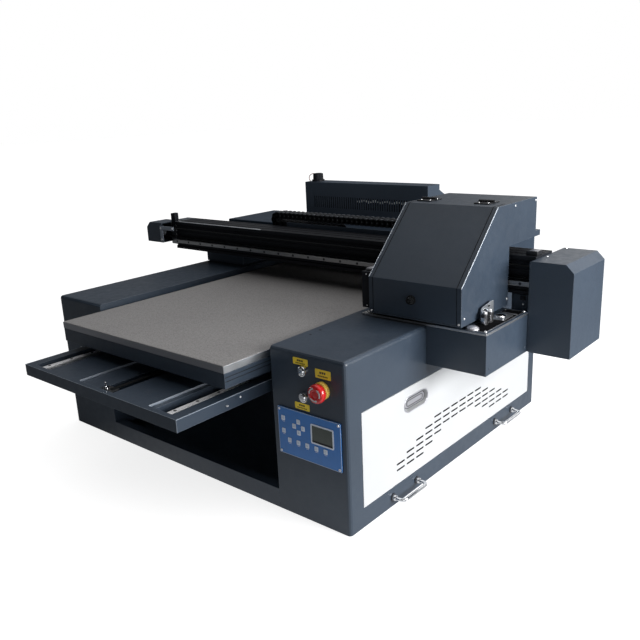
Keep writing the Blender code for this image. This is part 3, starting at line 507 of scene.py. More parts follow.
BOTTLE = moulded("bottle_plastic", (0.78, 0.78, 0.7), 0.35)
BOARD = clear_coated("circuit_board", (0.02, 0.2, 0.08), 0.36)
CASE = ground_steel("supply_case", (1.0, 0.05, 1.0), 0.55, 0.4)
ORANGE = moulded("orange_tube", (0.62, 0.2, 0.1), 0.3)

# The looks of each material slot of the record. CAD nodes wear the first.
SLOT_LOOKS = {
    "blue_grey_paint": (PAINT, RIM_HIGHLIGHT_PAINT, LIGHT_TRIM_AND_HIGHLIGHT),
    "white_paint": (WHITE,),
    "black_anodised": (ANODISED,),
    "bright_steel": (STEEL_X, LIT_STEEL_Y, STEEL_Z, ZINC, SHEET_STEEL, ALUMINIUM, CAST, DARK_CAST, SILVER, BRASS),
    "chrome": (CHROME,),
    "belt_rubber": (RUBBER,),
    "black_plastic": (BLACK, SHADE_AND_DARK_JOINT, LINK, TOP_HIGHLIGHT, GLASS, INK),
    "blue_panel": (BLUE, PRINT),
    "yellow_plastic": (YELLOW, LABEL),
    "red_plastic": (RED, ORANGE),
    "bed_surface": (BED,),
    "tank_plastic": (TANK,),
    "bottle_plastic": (BOTTLE, KEY),
    "circuit_board": (BOARD,),
    "supply_case": (CASE,),
}

# CAD nodes that wear another look than their slot's first
OWN_LOOKS = {
    "maintenance_deck": SHEET_STEEL,
    "rear_deck": SHEET_STEEL,
    "print_heads": SHEET_STEEL,
    "rear_housing": SATIN,
    "vent_box": LIT_SATIN,
    "left_column": LIT_SATIN,
    "right_column": LIT_SATIN,
    "latch_paddle": SILVER,
}


def soften(obj, width):
    """Rounds the sharp edges of an object."""
    bevel = obj.modifiers.new("edges", "BEVEL")
    bevel.width = width
    bevel.segments = 2
    bevel.limit_method = "ANGLE"
    bevel.angle_limit = SHARP
    bevel.harden_normals = True


def dress_frame():
    """Gives each CAD node its material, and rounds its edges a little."""
    for part in frame["record"]["subparts"]:
        node = nodes[part["node"]]
        node.data.materials.clear()
        node.data.materials.append(OWN_LOOKS.get(part["node"], SLOT_LOOKS[part["material_slot"]][0]))
        weld = node.modifiers.new("weld", "WELD")
        weld.merge_threshold = 0.00001
        flat = node.modifiers.new("flat", "DECIMATE")
        flat.decimate_type = "DISSOLVE"
        flat.angle_limit = math.radians(0.5)
        soften(node, FRAME_BEVEL)


# Mesh making


class Box:
    """The sides of a CAD node's box."""

    def __init__(self, node):
        low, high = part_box(node)
        self.left, self.front, self.bottom = low
        self.right, self.back, self.top = high
        self.middle = (low + high) / 2

    def x(self, first=0, last=0):
        """The span from left to right, its ends shifted by these distances."""
        return self.left + first, self.right + last

    def y(self, first=0, last=0):
        return self.front + first, self.back + last

    def z(self, first=0, last=0):
        return self.bottom + first, self.top + last


def grown(span, reach):
    """The span, longer by this much at each end."""
    return span[0] - reach, span[1] + reach


def about(middle, half):
    """The span that reaches equally far to both sides of the middle."""
    return middle - half, middle + half


def near(level, first, last):
    """The span whose ends lie at these distances from the level."""
    return level + first, level + last


# Where a pair in a plane across each axis, and a distance along it, go
PLANES = {
    "x": lambda a, b, t: (t, a, b),
    "y": lambda a, b, t: (a, t, b),
    "z": lambda a, b, t: (a, b, t),
}


def box_mesh(x, y, z, radius=0.0, segments=3):
    """A block over three spans, with its edges rounded."""
    mesh = bmesh.new()
    size = (x[1] - x[0], y[1] - y[0], z[1] - z[0])
    middle = Vector((x[0] + x[1], y[0] + y[1], z[0] + z[1])) / 2
    bmesh.ops.create_cube(mesh, size=1, matrix=Matrix.Translation(middle) @ Matrix.Diagonal((*size, 1)))
    if radius:
        bmesh.ops.bevel(
            mesh, geom=list(mesh.edges), offset=radius, segments=segments, profile=0.5, affect="EDGES",
        )
    return mesh


def prism_mesh(outline, axis, start, end):
    """Extrudes an outline of pairs, in the order of the two other axes, along the named axis."""
    place = PLANES[axis]
    mesh = bmesh.new()
    face = mesh.faces.new([mesh.verts.new(place(a, b, start)) for a, b in outline])
    made = bmesh.ops.extrude_face_region(mesh, geom=[face])
    moved = [item for item in made["geom"] if isinstance(item, bmesh.types.BMVert)]
    bmesh.ops.translate(mesh, vec=Vector(place(0, 0, end - start)), verts=moved)
    return mesh


def rod(radius, length):
    """The profile of a plain cylinder, for turned()."""
    return [(0, 0), (radius, 0), (radius, length), (0, length)]


def arc(centre, radius, first, last, steps):
    """Points on an arc, angles in degrees."""
    turn = [math.radians(first + (last - first) * i / steps) for i in range(steps + 1)]
    return [(centre[0] + radius * math.cos(a), centre[1] + radius * math.sin(a)) for a in turn]


def rounded(a, b, radius, steps=6):
    """A rectangle with round corners, over the spans a and b."""
    corners = (
        ((a[1] - radius, b[1] - radius), 0),
        ((a[0] + radius, b[1] - radius), 90),
        ((a[0] + radius, b[0] + radius), 180),
        ((a[1] - radius, b[0] + radius), 270),
    )
    return [point for centre, first in corners for point in arc(centre, radius, first, first + 90, steps)]


def frame_mesh(outer, inner, axis, start, end):
    """A flat ring between two outlines with the same number of points."""
    mesh = bmesh.new()
    place = PLANES[axis]
    rings = []
    for outline, t in ((outer, start), (outer, end), (inner, end), (inner, start)):
        rings.append([mesh.verts.new(place(a, b, t)) for a, b in outline])
    count = len(outer)
    for ring, following in zip(rings, rings[1:] + rings[:1]):
        for i in range(count):
            j = (i + 1) % count
            mesh.faces.new((ring[i], ring[j], following[j], following[i]))
    return mesh


def turned(profile, place, direction, steps=28):
    """A body turned round an axis through the place, from a profile of (radius, distance along it).

    Lobes and their depth may follow, for a ring that waves in and out. A profile that ends where it
    starts makes a ring.
    """
    mesh = bmesh.new()
    turn = Vector((0, 0, 1)).rotation_difference(Vector(direction)).to_matrix().to_4x4()
    stand = Matrix.Translation(place) @ turn
    rings = []
    for radius, height, *wave in profile:
        if not radius:
            rings.append([mesh.verts.new(stand @ Vector((0, 0, height)))])
            continue
        ring = []
        for i in range(steps):
            angle = 2 * math.pi * i / steps
            reach = radius
            if wave:
                lobes, depth = wave
                reach *= 1 - depth * (0.5 - 0.5 * math.cos(lobes * angle))
            spot = Vector((reach * math.cos(angle), reach * math.sin(angle), height))
            ring.append(mesh.verts.new(stand @ spot))
        rings.append(ring)
    if profile[0] == profile[-1]:
        for vert in rings.pop():
            mesh.verts.remove(vert)
        rings.append(rings[0])
    for first, second in zip(rings, rings[1:]):
        for i in range(max(len(first), len(second))):
            corners = (first[i % len(first)], first[(i + 1) % len(first)])
            corners += (second[(i + 1) % len(second)], second[i % len(second)])
            corners = list(dict.fromkeys(corners))
            if len(corners) > 2:
                mesh.faces.new(corners)
    return mesh


def merged(meshes):
    """One mesh of several."""
    whole = bmesh.new()
    for mesh in meshes:
        data = bpy.data.meshes.new("part")
        mesh.to_mesh(data)
        mesh.free()
        whole.from_mesh(data)
        bpy.data.meshes.remove(data)
    return whole


def tilted(mesh, place, axis, degrees):
    """The mesh, turned about an axis through the place."""
    turn = Matrix.Rotation(math.radians(degrees), 3, axis)
    bmesh.ops.rotate(mesh, cent=Vector(place), matrix=turn, verts=mesh.verts)
    return mesh


def declare(obj, body, stands_for):
    """Puts an object in the scene, hangs it on the body it rides on, and hides the CAD nodes it replaces."""
    bpy.context.scene.collection.objects.link(obj)
    if body:
        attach(obj, body)
    if stands_for:
        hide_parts(*stands_for)
    return obj


def piece(name, mesh, look, body="base", stands_for=(), bevel=0.0, angle=32):
    """An object of a mesh, or of a list of meshes, that rides on a body."""
    if isinstance(mesh, list):
        mesh = merged(mesh)
    bmesh.ops.recalc_face_normals(mesh, faces=mesh.faces)
    data = bpy.data.meshes.new(name)
    mesh.to_mesh(data)
    mesh.free()
    data.shade_smooth()
    data.set_sharp_from_angle(angle=math.radians(angle))
    data.materials.append(look)
    obj = bpy.data.objects.new(name, data)
    if bevel:
        soften(obj, bevel)
    return declare(obj, body, stands_for)


def tube(name, points, radius, look, body="base", stands_for=()):
    """A bent rod or tube along a smooth line through the points."""
    curve = bpy.data.curves.new(name, "CURVE")
    curve.dimensions = "3D"
    curve.bevel_depth = radius
    curve.bevel_resolution = 5
    curve.use_fill_caps = True
    line = curve.splines.new("POLY")
    line.points.add(len(points) - 1)
    for point, where in zip(line.points, points):
        point.co = (*where, 1)
    line.use_smooth = True
    curve.materials.append(look)
    obj = bpy.data.objects.new(name, curve)
    return declare(obj, body, stands_for)


# Lobes and depth of a ring that makes it six-sided
HEX = (6, 0.134)


def screw_mesh(place, direction, radius, height):
    """A round screw head with a six-sided socket."""
    profile = [
        (0, 0.35 * height),
        (0.42 * radius, 0.35 * height, *HEX),
        (0.46 * radius, 0.98 * height, *HEX),
        (0.66 * radius, height),
        (0.88 * radius, 0.8 * height),
        (radius, 0.4 * height),
        (radius, -0.0004),
        (0, -0.0004),
    ]
    return turned(profile, place, direction, 24)


def screws(name, places, direction, body="base", look=ZINC, radius=0.003, height=0.0018):
    """One piece of all the screw heads at these places, facing one way."""
    piece(name, [screw_mesh(place, direction, radius, height) for place in places], look, body)


RIGHT, LEFT, FRONT, BACK, UP, DOWN = (1, 0, 0), (-1, 0, 0), (0, -1, 0), (0, 1, 0), (0, 0, 1), (0, 0, -1)


# Controls

KEY_PITCH = 0.0254


def build_panel():
    """The keypad: a blue film with eleven keys, a display and four corner screws."""
    film = Box("control_panel")
    skin = film.front
    cross = (film.left + 0.0595, film.bottom + 0.0728)
    reach = 0.0128
    row = [(film.left + 0.0315 + KEY_PITCH * i, film.bottom + 0.036) for i in range(5)]
    pair = [(film.left + 0.0155, film.bottom + height) for height in (0.055, 0.085)]
    ring = [
        (cross[0] + reach * math.cos(a), cross[1] + reach * math.sin(a))
        for a in (0, math.pi / 2, math.pi, -math.pi / 2)
    ]
    keys = []
    marks = []
    dashes = []
    half_width, half_height = 0.005, 0.0055
    for x, z in row + pair + ring:
        outline = rounded(about(x, half_width), about(z, half_height), 0.0016)
        keys.append(prism_mesh(outline, "y", skin - 0.0012, skin + 0.0003))
    for i, (x, z) in enumerate(ring):
        arrow = [(0.0022, 0), (-0.0012, 0.002), (-0.0012, -0.002)]
        turn = i * math.pi / 2
        corners = [
            (x + a * math.cos(turn) - b * math.sin(turn), z + a * math.sin(turn) + b * math.cos(turn))
            for a, b in arrow
        ]
        marks.append(prism_mesh(corners, "y", skin - 0.00135, skin - 0.0011))
    for x, z in row + pair:
        outer = rounded(about(x, 0.002), about(z, 0.002), 0.0008, 3)
        inner = rounded(about(x, 0.0013), about(z, 0.0013), 0.0004, 3)
        marks.append(frame_mesh(outer, inner, "y", skin - 0.00135, skin - 0.0011))
        dashes.append(box_mesh(about(x, 0.0038), near(skin, -0.00012, 0.0002), near(z, -0.0085, -0.0077)))
    piece("panel_keys", keys, KEY, bevel=0.0004)
    piece("panel_key_marks", marks, PRINT)
    piece("panel_dashes", dashes, KEY)
    glass_x = near(film.left, 0.0975, 0.1535)
    glass_z = near(film.bottom, 0.05, 0.0885)
    rim = 0.0033
    outer = rounded(grown(glass_x, rim), grown(glass_z, rim), 0.003)
    inner = rounded(glass_x, glass_z, 0.0008)
    piece("display_frame", frame_mesh(outer, inner, "y", skin - 0.0013, skin + 0.0003), KEY, bevel=0.0004)
    lap = 0.001
    glass = box_mesh(grown(glass_x, lap), near(skin, -0.0005, 0.0003), grown(glass_z, lap))
    piece("display", glass, GLASS)
    band = box_mesh(glass_x, near(skin, -0.0007, 0), near(glass_z[0], 0, 0.004))
    piece("display_shade", band, BLACK)
    inset = 0.0052
    corners = [(x, skin, z) for x in film.x(inset, -inset) for z in film.z(inset, -inset)]
    screws("panel_screws", corners, FRONT, radius=0.003, height=0.0016)
    outer = rounded(film.x(), film.z(), 0.0015)
    inner = rounded(film.x(0.0012, -0.0012), film.z(0.0012, -0.0012), 0.001)
    piece("panel_edge", frame_mesh(outer, inner, "y", skin - 0.00015, skin + 0.0004), PRINT)


def build_label(name, x, z, rows):
    """A small yellow plate with plain bars where a real one has its words.

    Each row gives its level, thickness and length as shares of the plate, and its number of bars.
    """
    face = Box("tower_cover").front
    plate = prism_mesh(rounded(x, z, 0.0022), "y", face - 0.0006, face + 0.0002)
    piece(name, plate, LABEL, bevel=0.0002)
    width = x[1] - x[0]
    height = z[1] - z[0]
    bars = []
    for level, thick, share, count in rows:
        low = z[0] + level * height
        start = x[0] + (1 - share) / 2 * width
        pitch = share * width / count
        for i in range(count):
            left = start + i * pitch
            bars.append(box_mesh(
                near(left, 0, 0.78 * pitch), near(face, -0.00075, -0.0005),
                near(low, 0, thick * height),
            ))
    piece(name + "_bars", bars, INK)


def build_controls():
    """The keypad, the labels, the two push buttons and the emergency stop."""
    build_panel()
    up, down, stop = Box("up_button"), Box("down_button"), Box("estop_head")
    rows = ((0.52, 0.24, 0.42, 3), (0.2, 0.13, 0.66, 6))
    for name, middle, level, x, z in (
        ("upper_label", up.middle.x, up.top, (-0.029, 0.012), (-0.0002, 0.015)),
        ("stop_label", stop.middle.x, stop.top, (-0.0205, 0.0205), (0.0046, 0.024)),
        ("lower_label", down.middle.x, down.bottom, (-0.0305, 0.0105), (-0.022, -0.0068)),
    ):
        build_label(name, near(middle, *x), near(level, *z), rows)
    cabinet = Box("tower_cover")
    for name, button in (("up_button", up), ("down_button", down)):
        place = (button.middle.x, button.front, button.middle.z)
        cap = [
            (0, 0.0003), (0.004, 0.0001), (0.0066, 0.0006), (0.008, 0.0022), (0.0081, 0.0075),
            (0.0072, 0.0077), (0.0072, 0.018), (0, 0.018),
        ]
        piece(name + "_cap", turned(cap, place, BACK), CHROME, name, stands_for=[name])
        depth = cabinet.front - button.front
        collar = [
            (0.0086, 0.004), (0.0094, 0.003), (0.0108, 0.0036), (0.0116, 0.006), (0.0118, depth + 0.0003),
            (0.0086, depth + 0.0003), (0.0086, 0.004),
        ]
        piece(name + "_bezel", turned(collar, place, BACK), CHROME)
    build_stop(stop)
    # Dark dots where two small holes are in the tower's top: painted shade
    spots = ((cabinet.left + 0.024, cabinet.front + 0.106), (cabinet.left + 0.021, cabinet.front + 0.144))
    dot = [(0, 0.0002), (0.0012, 0.0001), (0.0026, 0.0004), (0.003, 0), (0.003, -0.0004), (0, -0.0004)]
    piece("tower_top_hole_shade", [turned(dot, (x, y, cabinet.top), UP, 16) for x, y in spots], BLACK)


def build_stop(stop):
    """The emergency stop: a mushroom head with three arrows, on a yellow collar."""
    apex = (stop.middle.x, stop.front, stop.middle.z)
    reach = (stop.right - stop.left) / 2
    depth = stop.back - stop.front
    head = [
        (0, 0.0012), (0.3 * reach, 0.0012), (0.38 * reach, 0.0017), (0.44 * reach, 0.0006),
        (0.52 * reach, 0.0001), (0.8 * reach, 0.0007), (0.92 * reach, 0.0024), (0.985 * reach, 0.0052),
        (reach, 0.0085), (0.985 * reach, 0.0125), (0.9 * reach, 0.0158), (0.45 * reach, 0.016),
        (0.448 * reach, depth), (0, depth),
    ]
    piece("stop_mushroom", turned(head, apex, BACK, 48), RED, "stop_button", stands_for=["estop_head"])
    centre = (apex[0], apex[2])
    arrows = []
    for k in range(3):
        start = 100 + 120 * k
        end = start + 62
        outline = arc(centre, 0.735 * reach, start, end, 10)
        for share, angle in ((0.8, end), (0.66, start + 84), (0.52, end)):
            outline += arc(centre, share * reach, angle, angle, 1)[:1]
        outline += arc(centre, 0.585 * reach, end, start, 10)
        arrows.append(prism_mesh(outline, "y", apex[1] + 0.0001, apex[1] + 0.001))
    piece("stop_arrows", arrows, WHITE, "stop_button")
    ring = Box("estop_collar")
    rim = 0.8 * (ring.right - ring.left) / 2
    seat = ring.back - ring.front
    stand = 0.005
    collar = [
        (0.0101, 0.0008), (0.7 * rim, 0.0004), (0.9 * rim, 0.0002), (0.97 * rim, 0.0012), (rim, 0.003),
        (rim, seat + stand), (0.0101, seat + stand), (0.0101, 0.0008),
    ]
    place = (ring.middle.x - 0.0025, ring.front - stand, ring.middle.z)
    piece("stop_collar", turned(collar, place, BACK, 48), YELLOW, stands_for=["estop_collar"])


# Hood


def build_hood_fittings():
    """The lid's hinges, the hood's screws and the lid's knob."""
    hood, lid, knob = Box("hood"), Box("hood_lid"), Box("hood_knob")
    hinge_y = lid.back
    barrel = 0.004
    width = 0.04
    plate_z = near(hood.top, -0.0002, 0.0026)
    fixed, moving, dots_fixed, dots_moving = [], [], [], []
    for left in hood.x(0.013, -0.077):
        right = left + width
        fixed.append(box_mesh((left, right), near(hinge_y, 0.0045, 0.026), plate_z, 0.0007))
        moving.append(box_mesh((left, right), near(hinge_y, -0.026, -0.0045), plate_z, 0.0007))
        for start, end, group in ((0, 0.27, fixed), (0.29, 0.71, moving), (0.73, 1, fixed)):
            span = near(left, start * width, end * width)
            group.append(
                turned(rod(barrel, span[1] - span[0]), (span[0], hinge_y, hood.top + barrel), RIGHT, 20),
            )
            web_y = near(hinge_y, 0, 0.005) if group is fixed else near(hinge_y, -0.005, 0)
            group.append(box_mesh(span, web_y, near(hood.top, 0.0002, 0.003)))
        for x in (left + 0.008, right - 0.008):
            dots_fixed.append((x, hinge_y + 0.016, hood.top + 0.0026))
            dots_moving.append((x, hinge_y - 0.016, hood.top + 0.0026))
    piece("hood_hinge_leaves", fixed, BLACK, "carriage", bevel=0.0003)
    piece("lid_hinge_leaves", moving, BLACK, "lid", bevel=0.0003)
    screws("hood_hinge_screws", dots_fixed, UP, "carriage", radius=0.0022, height=0.0012)
    screws("lid_hinge_screws", dots_moving, UP, "lid", radius=0.0022, height=0.0012)
    side = [
        (hood.front + 0.012, hood.bottom + 0.0175), (hood.front + 0.2145, hood.bottom + 0.0175),
        (0.086, hood.top - 0.0075), (hood.back - 0.0345, hood.top - 0.0075),
    ]
    for name, x, direction in (("right", hood.right, RIGHT), ("left", hood.left, LEFT)):
        screws("hood_screws_" + name, [(x, y, z) for y, z in side], direction, "carriage", radius=0.0026)
    front = [(x, hood.front, hood.bottom + 0.006) for x in hood.x(0.006, -0.006)]
    screws("hood_screws_front", front, FRONT, "carriage", radius=0.0024)
    back = [(x, hood.back, hood.top - 0.092) for x in hood.x(0.03, -0.03)]
    screws("hood_screws_back", back, BACK, "carriage", radius=0.0026)
    build_hood_lines(hood, lid)
    build_knob(knob)


def build_knob(knob):
    """A lobed grip with a pointer."""
    foot = (knob.middle.x, knob.back, knob.middle.z)
    radius = (knob.right - knob.left) / 2
    depth = knob.back - knob.front
    grip = [
        (0, depth - 0.0022), (0.2 * radius, depth - 0.0022), (0.26 * radius, depth - 0.0004),
        (0.5 * radius, depth, 8, 0.1), (0.7 * radius, depth - 0.0012, 8, 0.16),
        (0.8 * radius, depth - 0.0035, 8, 0.2), (0.84 * radius, 0.0055, 8, 0.2),
        (0.86 * radius, 0.0042, 8, 0.06), (0.97 * radius, 0.0036), (radius, 0.0022), (radius, 0), (0, 0),
    ]
    piece(
        "knob_grip", turned(grip, foot, FRONT, 64), RUBBER, "knob",
        stands_for=["hood_knob"],
    )
    wing = box_mesh(
        about(knob.middle.x, 0.0012), near(knob.front, 0.0004, 0.003),
        near(knob.middle.z, -0.3 * radius, 0.72 * radius), 0.0005,
    )
    piece("knob_pointer", wing, LINK, "knob")


def hood_slope(hood):
    """The ends of the lid's slope, as pairs of Y and Z, from low to high."""
    points = [nodes["hood_lid"].matrix_world @ v.co for v in nodes["hood_lid"].data.vertices]
    level = max(p.z for p in points if p.y < hood.front + 0.0008)
    ridge = min(p.y for p in points if p.z > hood.top - 0.0008)
    return (hood.front, level), (ridge, hood.top)


def build_hood_lines(hood, lid):
    """The gap round the lid, and a pale strip of painted highlight along the folded edge beside it."""
    low, high = hood_slope(hood)
    rise = Vector((0, high[0] - low[0], high[1] - low[1])).normalized()
    out = Vector((0, -rise.z, rise.y))
    gaps = []
    for x in lid.x(-0.0011, -0.0002):
        strip = [
            (low[0], lid.bottom),
            (low[0] - 0.0003, lid.bottom),
            (low[0] - 0.0003, low[1]),
            (high[0] - 0.0002, high[1] + 0.0003),
            (lid.back, high[1] + 0.0003),
            (lid.back, high[1]),
            (high[0] + 0.0006, high[1] - 0.0003),
            (low[0] + 0.0004, low[1] - 0.0003),
        ]
        gaps.append(prism_mesh(strip, "x", x, x + 0.0013))
    piece("hood_lid_gaps", gaps, SHADE_AND_DARK_JOINT, "carriage")
    # Pale strips on the hood's slanted side edges: painted highlight
    edges = []
    for x in hood.x(-0.0002, -0.0012):
        corners = ((low, 0.0004), (high, 0.0004), (high, -0.0016), (low, -0.0016))
        strip = [(end[0] + out.y * reach, end[1] + out.z * reach) for end, reach in corners]
        edges.append(prism_mesh(strip, "x", x, x + 0.0014))
    piece("hood_edge_highlights", edges, RIM_HIGHLIGHT_PAINT, "carriage", bevel=0.0003)


def build_lamp_fittings():
    """Cooling ribs, screws, a terminal cover and a window on the lamp beside the hood."""
    lamp = Box("uv_lamp")
    count = 11
    pitch = (lamp.back - lamp.front - 0.03) / (count - 1)
    ribs = []
    for i in range(count):
        y = lamp.front + 0.015 + i * pitch
        ribs.append(
            box_mesh(near(lamp.left, -0.0028, 0.0005), about(y, 0.0022), lamp.z(0.012, -0.012), 0.0006, 2),
        )
    piece("lamp_ribs", ribs, ANODISED, "carriage")
    spots = [(lamp.left + 0.014, lamp.front, z) for z in lamp.z(0.006, -0.006)]
    screws("lamp_screws", spots, FRONT, "carriage", radius=0.0018, height=0.0011)
    x = near(lamp.left, 0.004, 0.02)
    cover = box_mesh(x, lamp.y(0.012, -0.012), near(lamp.top, -0.0005, 0.006), 0.0012)
    piece("lamp_terminal_cover", cover, CAST, "carriage")
    window = box_mesh(lamp.x(0.007, -0.007), lamp.y(0.011, -0.011), near(lamp.bottom, 0.0034, 0.0042))
    piece("lamp_window", window, GLASS, "carriage")


# Beam, rail and chain

BOLT_PITCH = 0.06
CHAIN_PITCH = 0.0182
CHAIN_HEIGHT = 0.024
BEND_LINKS = 4


def rail_outline(middle, base, height, width=0.015):
    """Section of a guide rail with a ball groove in each flank."""
    half = width / 2
    flank = [
        (half, 0), (half, 0.34), (half - 0.0018, 0.44), (half - 0.0018, 0.6), (half, 0.7), (half, 0.93),
        (half - 0.0009, 1.0),
    ]
    right = [(middle + a, base + b * height) for a, b in flank]
    left = [(middle - a, base + b * height) for a, b in reversed(flank)]
    return right + left


def rail_bolt(place, direction):
    """A socket screw sunk in the rail, with a dark ring round it for the shade in its counterbore: painted
    shade.
    """
    profile = [(0, 0.00005), (0.0013, 0.00005, *HEX), (0.0014, 0.00015, *HEX), (0.0028, 0.00015)]
    profile += [(0.0029, 0.00003), (0.0036, 0.00018), (0.0036, -0.0003), (0, -0.0003)]
    return turned(profile, place, direction, 24)


def build_rails():
    """The rail on the beam's front and the two under the bed."""
    rail = Box("x_rail")
    section = rail_outline(rail.middle.z, 0.0, rail.back - rail.front, 0.0118)
    outline = [(rail.back - height, z) for z, height in section]
    piece(
        "beam_rail", prism_mesh(outline, "x", rail.left + 0.006, rail.right), STEEL_X,
        stands_for=["x_rail"], bevel=0.0003,
    )
    count = int((rail.right - rail.left - 0.02) / BOLT_PITCH)
    first = rail.left + 0.017
    bolts = [
        rail_bolt((first + i * BOLT_PITCH, rail.front, rail.middle.z), FRONT) for i in range(count + 1)
    ]
    piece("beam_rail_bolts", bolts, BLACK)
    for side in ("left", "right"):
        rail = Box("y_rail_" + side)
        outline = rail_outline(rail.middle.x, rail.bottom, rail.top - rail.bottom)
        piece(
            "bed_rail_" + side, prism_mesh(outline, "y", rail.front, rail.back), LIT_STEEL_Y, "platform",
            stands_for=["y_rail_" + side], bevel=0.0003,
        )
        count = int((rail.back - rail.front - 0.02) / BOLT_PITCH)
        first = rail.front + 0.02
        spots = [(rail.middle.x, first + i * BOLT_PITCH, rail.top) for i in range(count + 1)]
        piece("bed_rail_bolts_" + side, [rail_bolt(spot, UP) for spot in spots], BLACK, "platform")


def build_beam_fittings():
    """A strip of painted highlight and dark strips of painted shade along the beam, then what holds it at
    both ends.
    """
    beam, end = Box("beam"), Box("end_box")
    # A bright strip along the beam's top front edge: painted highlight
    strip = box_mesh(
        near(beam.left, 0.0005, 0.41), near(beam.front, 0.0002, 0.007), near(beam.top, -0.0003, 0.0008),
        0.0003, 2,
    )
    piece("beam_edge_highlight", strip, ALUMINIUM)
    # Dark strips where grooves run along the beam's top: painted shade
    lines = []
    for depth in (0.026, 0.052, 0.078):
        y = beam.front + depth
        lines.append(box_mesh(beam.x(0.001, -0.001), near(y, 0, 0.0022), near(beam.top, -0.0003, 0.0004)))
    piece("beam_top_groove_shade", lines, SHADE_AND_DARK_JOINT)
    build_beam_foot(beam, end)
    shape = [(-0.004, 0.001), (0.0005, 0.001), (0.0005, 0.012), (-0.004, 0.009)]
    outline = [(beam.front + a, beam.bottom + b) for a, b in shape]
    piece(
        "beam_lower_flange", prism_mesh(outline, "x", beam.left + 0.001, beam.right - 0.001), ANODISED,
        bevel=0.0004,
    )
    build_left_end()
    build_right_end(beam, end)


def build_beam_foot(beam, end):
    """The foot under the beam's right end, a black plate of painted shade beside the hood, and the end box's
    lip.
    """
    foot_x = (Box("hood").right + 0.0026, end.left - 0.0006)
    low = beam.bottom - 0.05
    foot = [box_mesh(foot_x, near(beam.front, 0.0012, 0.0042), (low, beam.bottom - 0.0002))]
    # A black plate on the hood's right side under the beam, where the hood's inside lies in shade: painted
    # shade
    shade_plate = box_mesh(near(foot_x[0], -0.0014, -0.0002), beam.y(0.0012, -0.001), (low, beam.bottom - 0.0002))
    piece("beam_end_shade_plate", shade_plate, ANODISED, bevel=0.0003)
    lip = box_mesh(near(end.left, -0.0036, 0.0002), near(end.front, 0.0004, 0.0036), end.z(0.001, -0.002))
    piece("end_box_lip", lip, PAINT, bevel=0.0005)
    foot.append(box_mesh(foot_x, beam.y(0.0012, -0.004), near(beam.bottom, -0.0034, -0.0002)))
    piece("beam_end_foot", foot, PAINT, bevel=0.0006)
    middle = sum(foot_x) / 2
    lug = box_mesh(
        about(middle, 0.006), near(beam.front, -0.0032, 0.0015), near(beam.bottom, -0.015, -0.004), 0.001,
    )
    piece("beam_end_lug", lug, ANODISED)
    screws(
        "beam_end_foot_screws", [(middle, beam.front + 0.0012, beam.bottom - 0.025)], FRONT, radius=0.0024,
    )


def build_left_end():
    """The bright angle on the left end cover and the stop above it."""
    cover = Box("left_end_cover")
    front = cover.front
    leg = [
        (-0.008, -0.054), (0.006, -0.054), (0.006, -0.012), (0.066, -0.012), (0.066, 0.001),
        (-0.008, 0.001),
    ]
    corner = (cover.right, cover.top - 0.011)
    outline = [(corner[0] + a, corner[1] + b) for a, b in leg]
    piece(
        "left_end_angle", prism_mesh(outline, "y", front - 0.0034, front - 0.0002), LIGHT_TRIM_AND_HIGHLIGHT,
        bevel=0.0005,
    )
    shifts = ((-0.002, -0.007), (-0.002, -0.046), (0.06, -0.005))
    spots = [(corner[0] + a, front - 0.0034, corner[1] + b) for a, b in shifts]
    screws("left_end_screws", spots, FRONT, radius=0.0036, height=0.002)
    post = Box("left_end_bracket")
    cap = [
        box_mesh(post.x(0.0065, -0.0005), near(post.front, -0.0004, 0.014), post.z(0.05), 0.0012),
        box_mesh(
            post.x(0.0095, -0.0035), near(post.front, -0.0012, 0.001), near(post.top, -0.014, -0.005),
            0.0005,
        ),
    ]
    piece("left_end_stop", cap, ANODISED)


def build_right_end(beam, end):
    """The end box's screws, and the clamp and tag on the beam beside it."""
    lids = [(end.left + 0.01, y, end.top) for y in end.y(0.066, -0.01)]
    screws("end_box_screws_top", lids, UP, radius=0.0026)
    rear = [(x, end.back, z) for x in end.x(0.012, -0.014) for z in end.z(0.014, -0.036)]
    screws("end_box_screws_back", rear, BACK, radius=0.0026)
    clamp = box_mesh(
        near(end.left, -0.03, -0.002), near(beam.front, 0.01, 0.04), near(beam.top, -0.0002, 0.01), 0.0012,
    )
    piece("beam_end_clamp", clamp, BLACK)
    tag = box_mesh(
        near(end.left, -0.022, -0.004), near(beam.front, 0.0125, 0.0375), near(beam.top, 0.0098, 0.0112),
        0.0004, 2,
    )
    piece("beam_end_tag", tag, CAST)


def link_mesh(pitch, y, thick):
    """One cable chain link along X from the origin: two eared side plates and two bars."""
    half = thick / 2
    plate = 0.0035
    parts = []
    for a, b in (near(y[0], 0, plate), near(y[1], -plate, 0)):
        front_ear = arc((pitch * 0.98, 0), half * 0.92, -80, 80, 6)
        back_ear = arc((pitch * 0.18, 0), half * 0.8, 100, 260, 6)
        parts.append(prism_mesh(front_ear + back_ear, "y", a, b))
        hub = arc((pitch * 0.98, 0), 0.003, 0, 330, 11)
        outer = near(a, -0.0006, 0.001) if a == y[0] else near(b, -0.001, 0.0006)
        parts.append(prism_mesh(hub, "y", *outer))
    for z in (half - 0.0016, -half):
        parts.append(box_mesh(
            (pitch * 0.2, pitch * 0.74), (y[0] + plate - 0.0005, y[1] - plate + 0.0005),
            near(z, 0, 0.0016), 0.0004, 1,
        ))
    return merged(parts)


def links_along(count, pitch, start, z, y, thick):
    """A run of links from the start, at height z."""
    found = []
    for i in range(count):
        link = link_mesh(pitch, y, thick)
        bmesh.ops.translate(link, vec=(start + i * pitch, 0, z), verts=link.verts)
        found.append(link)
    return found


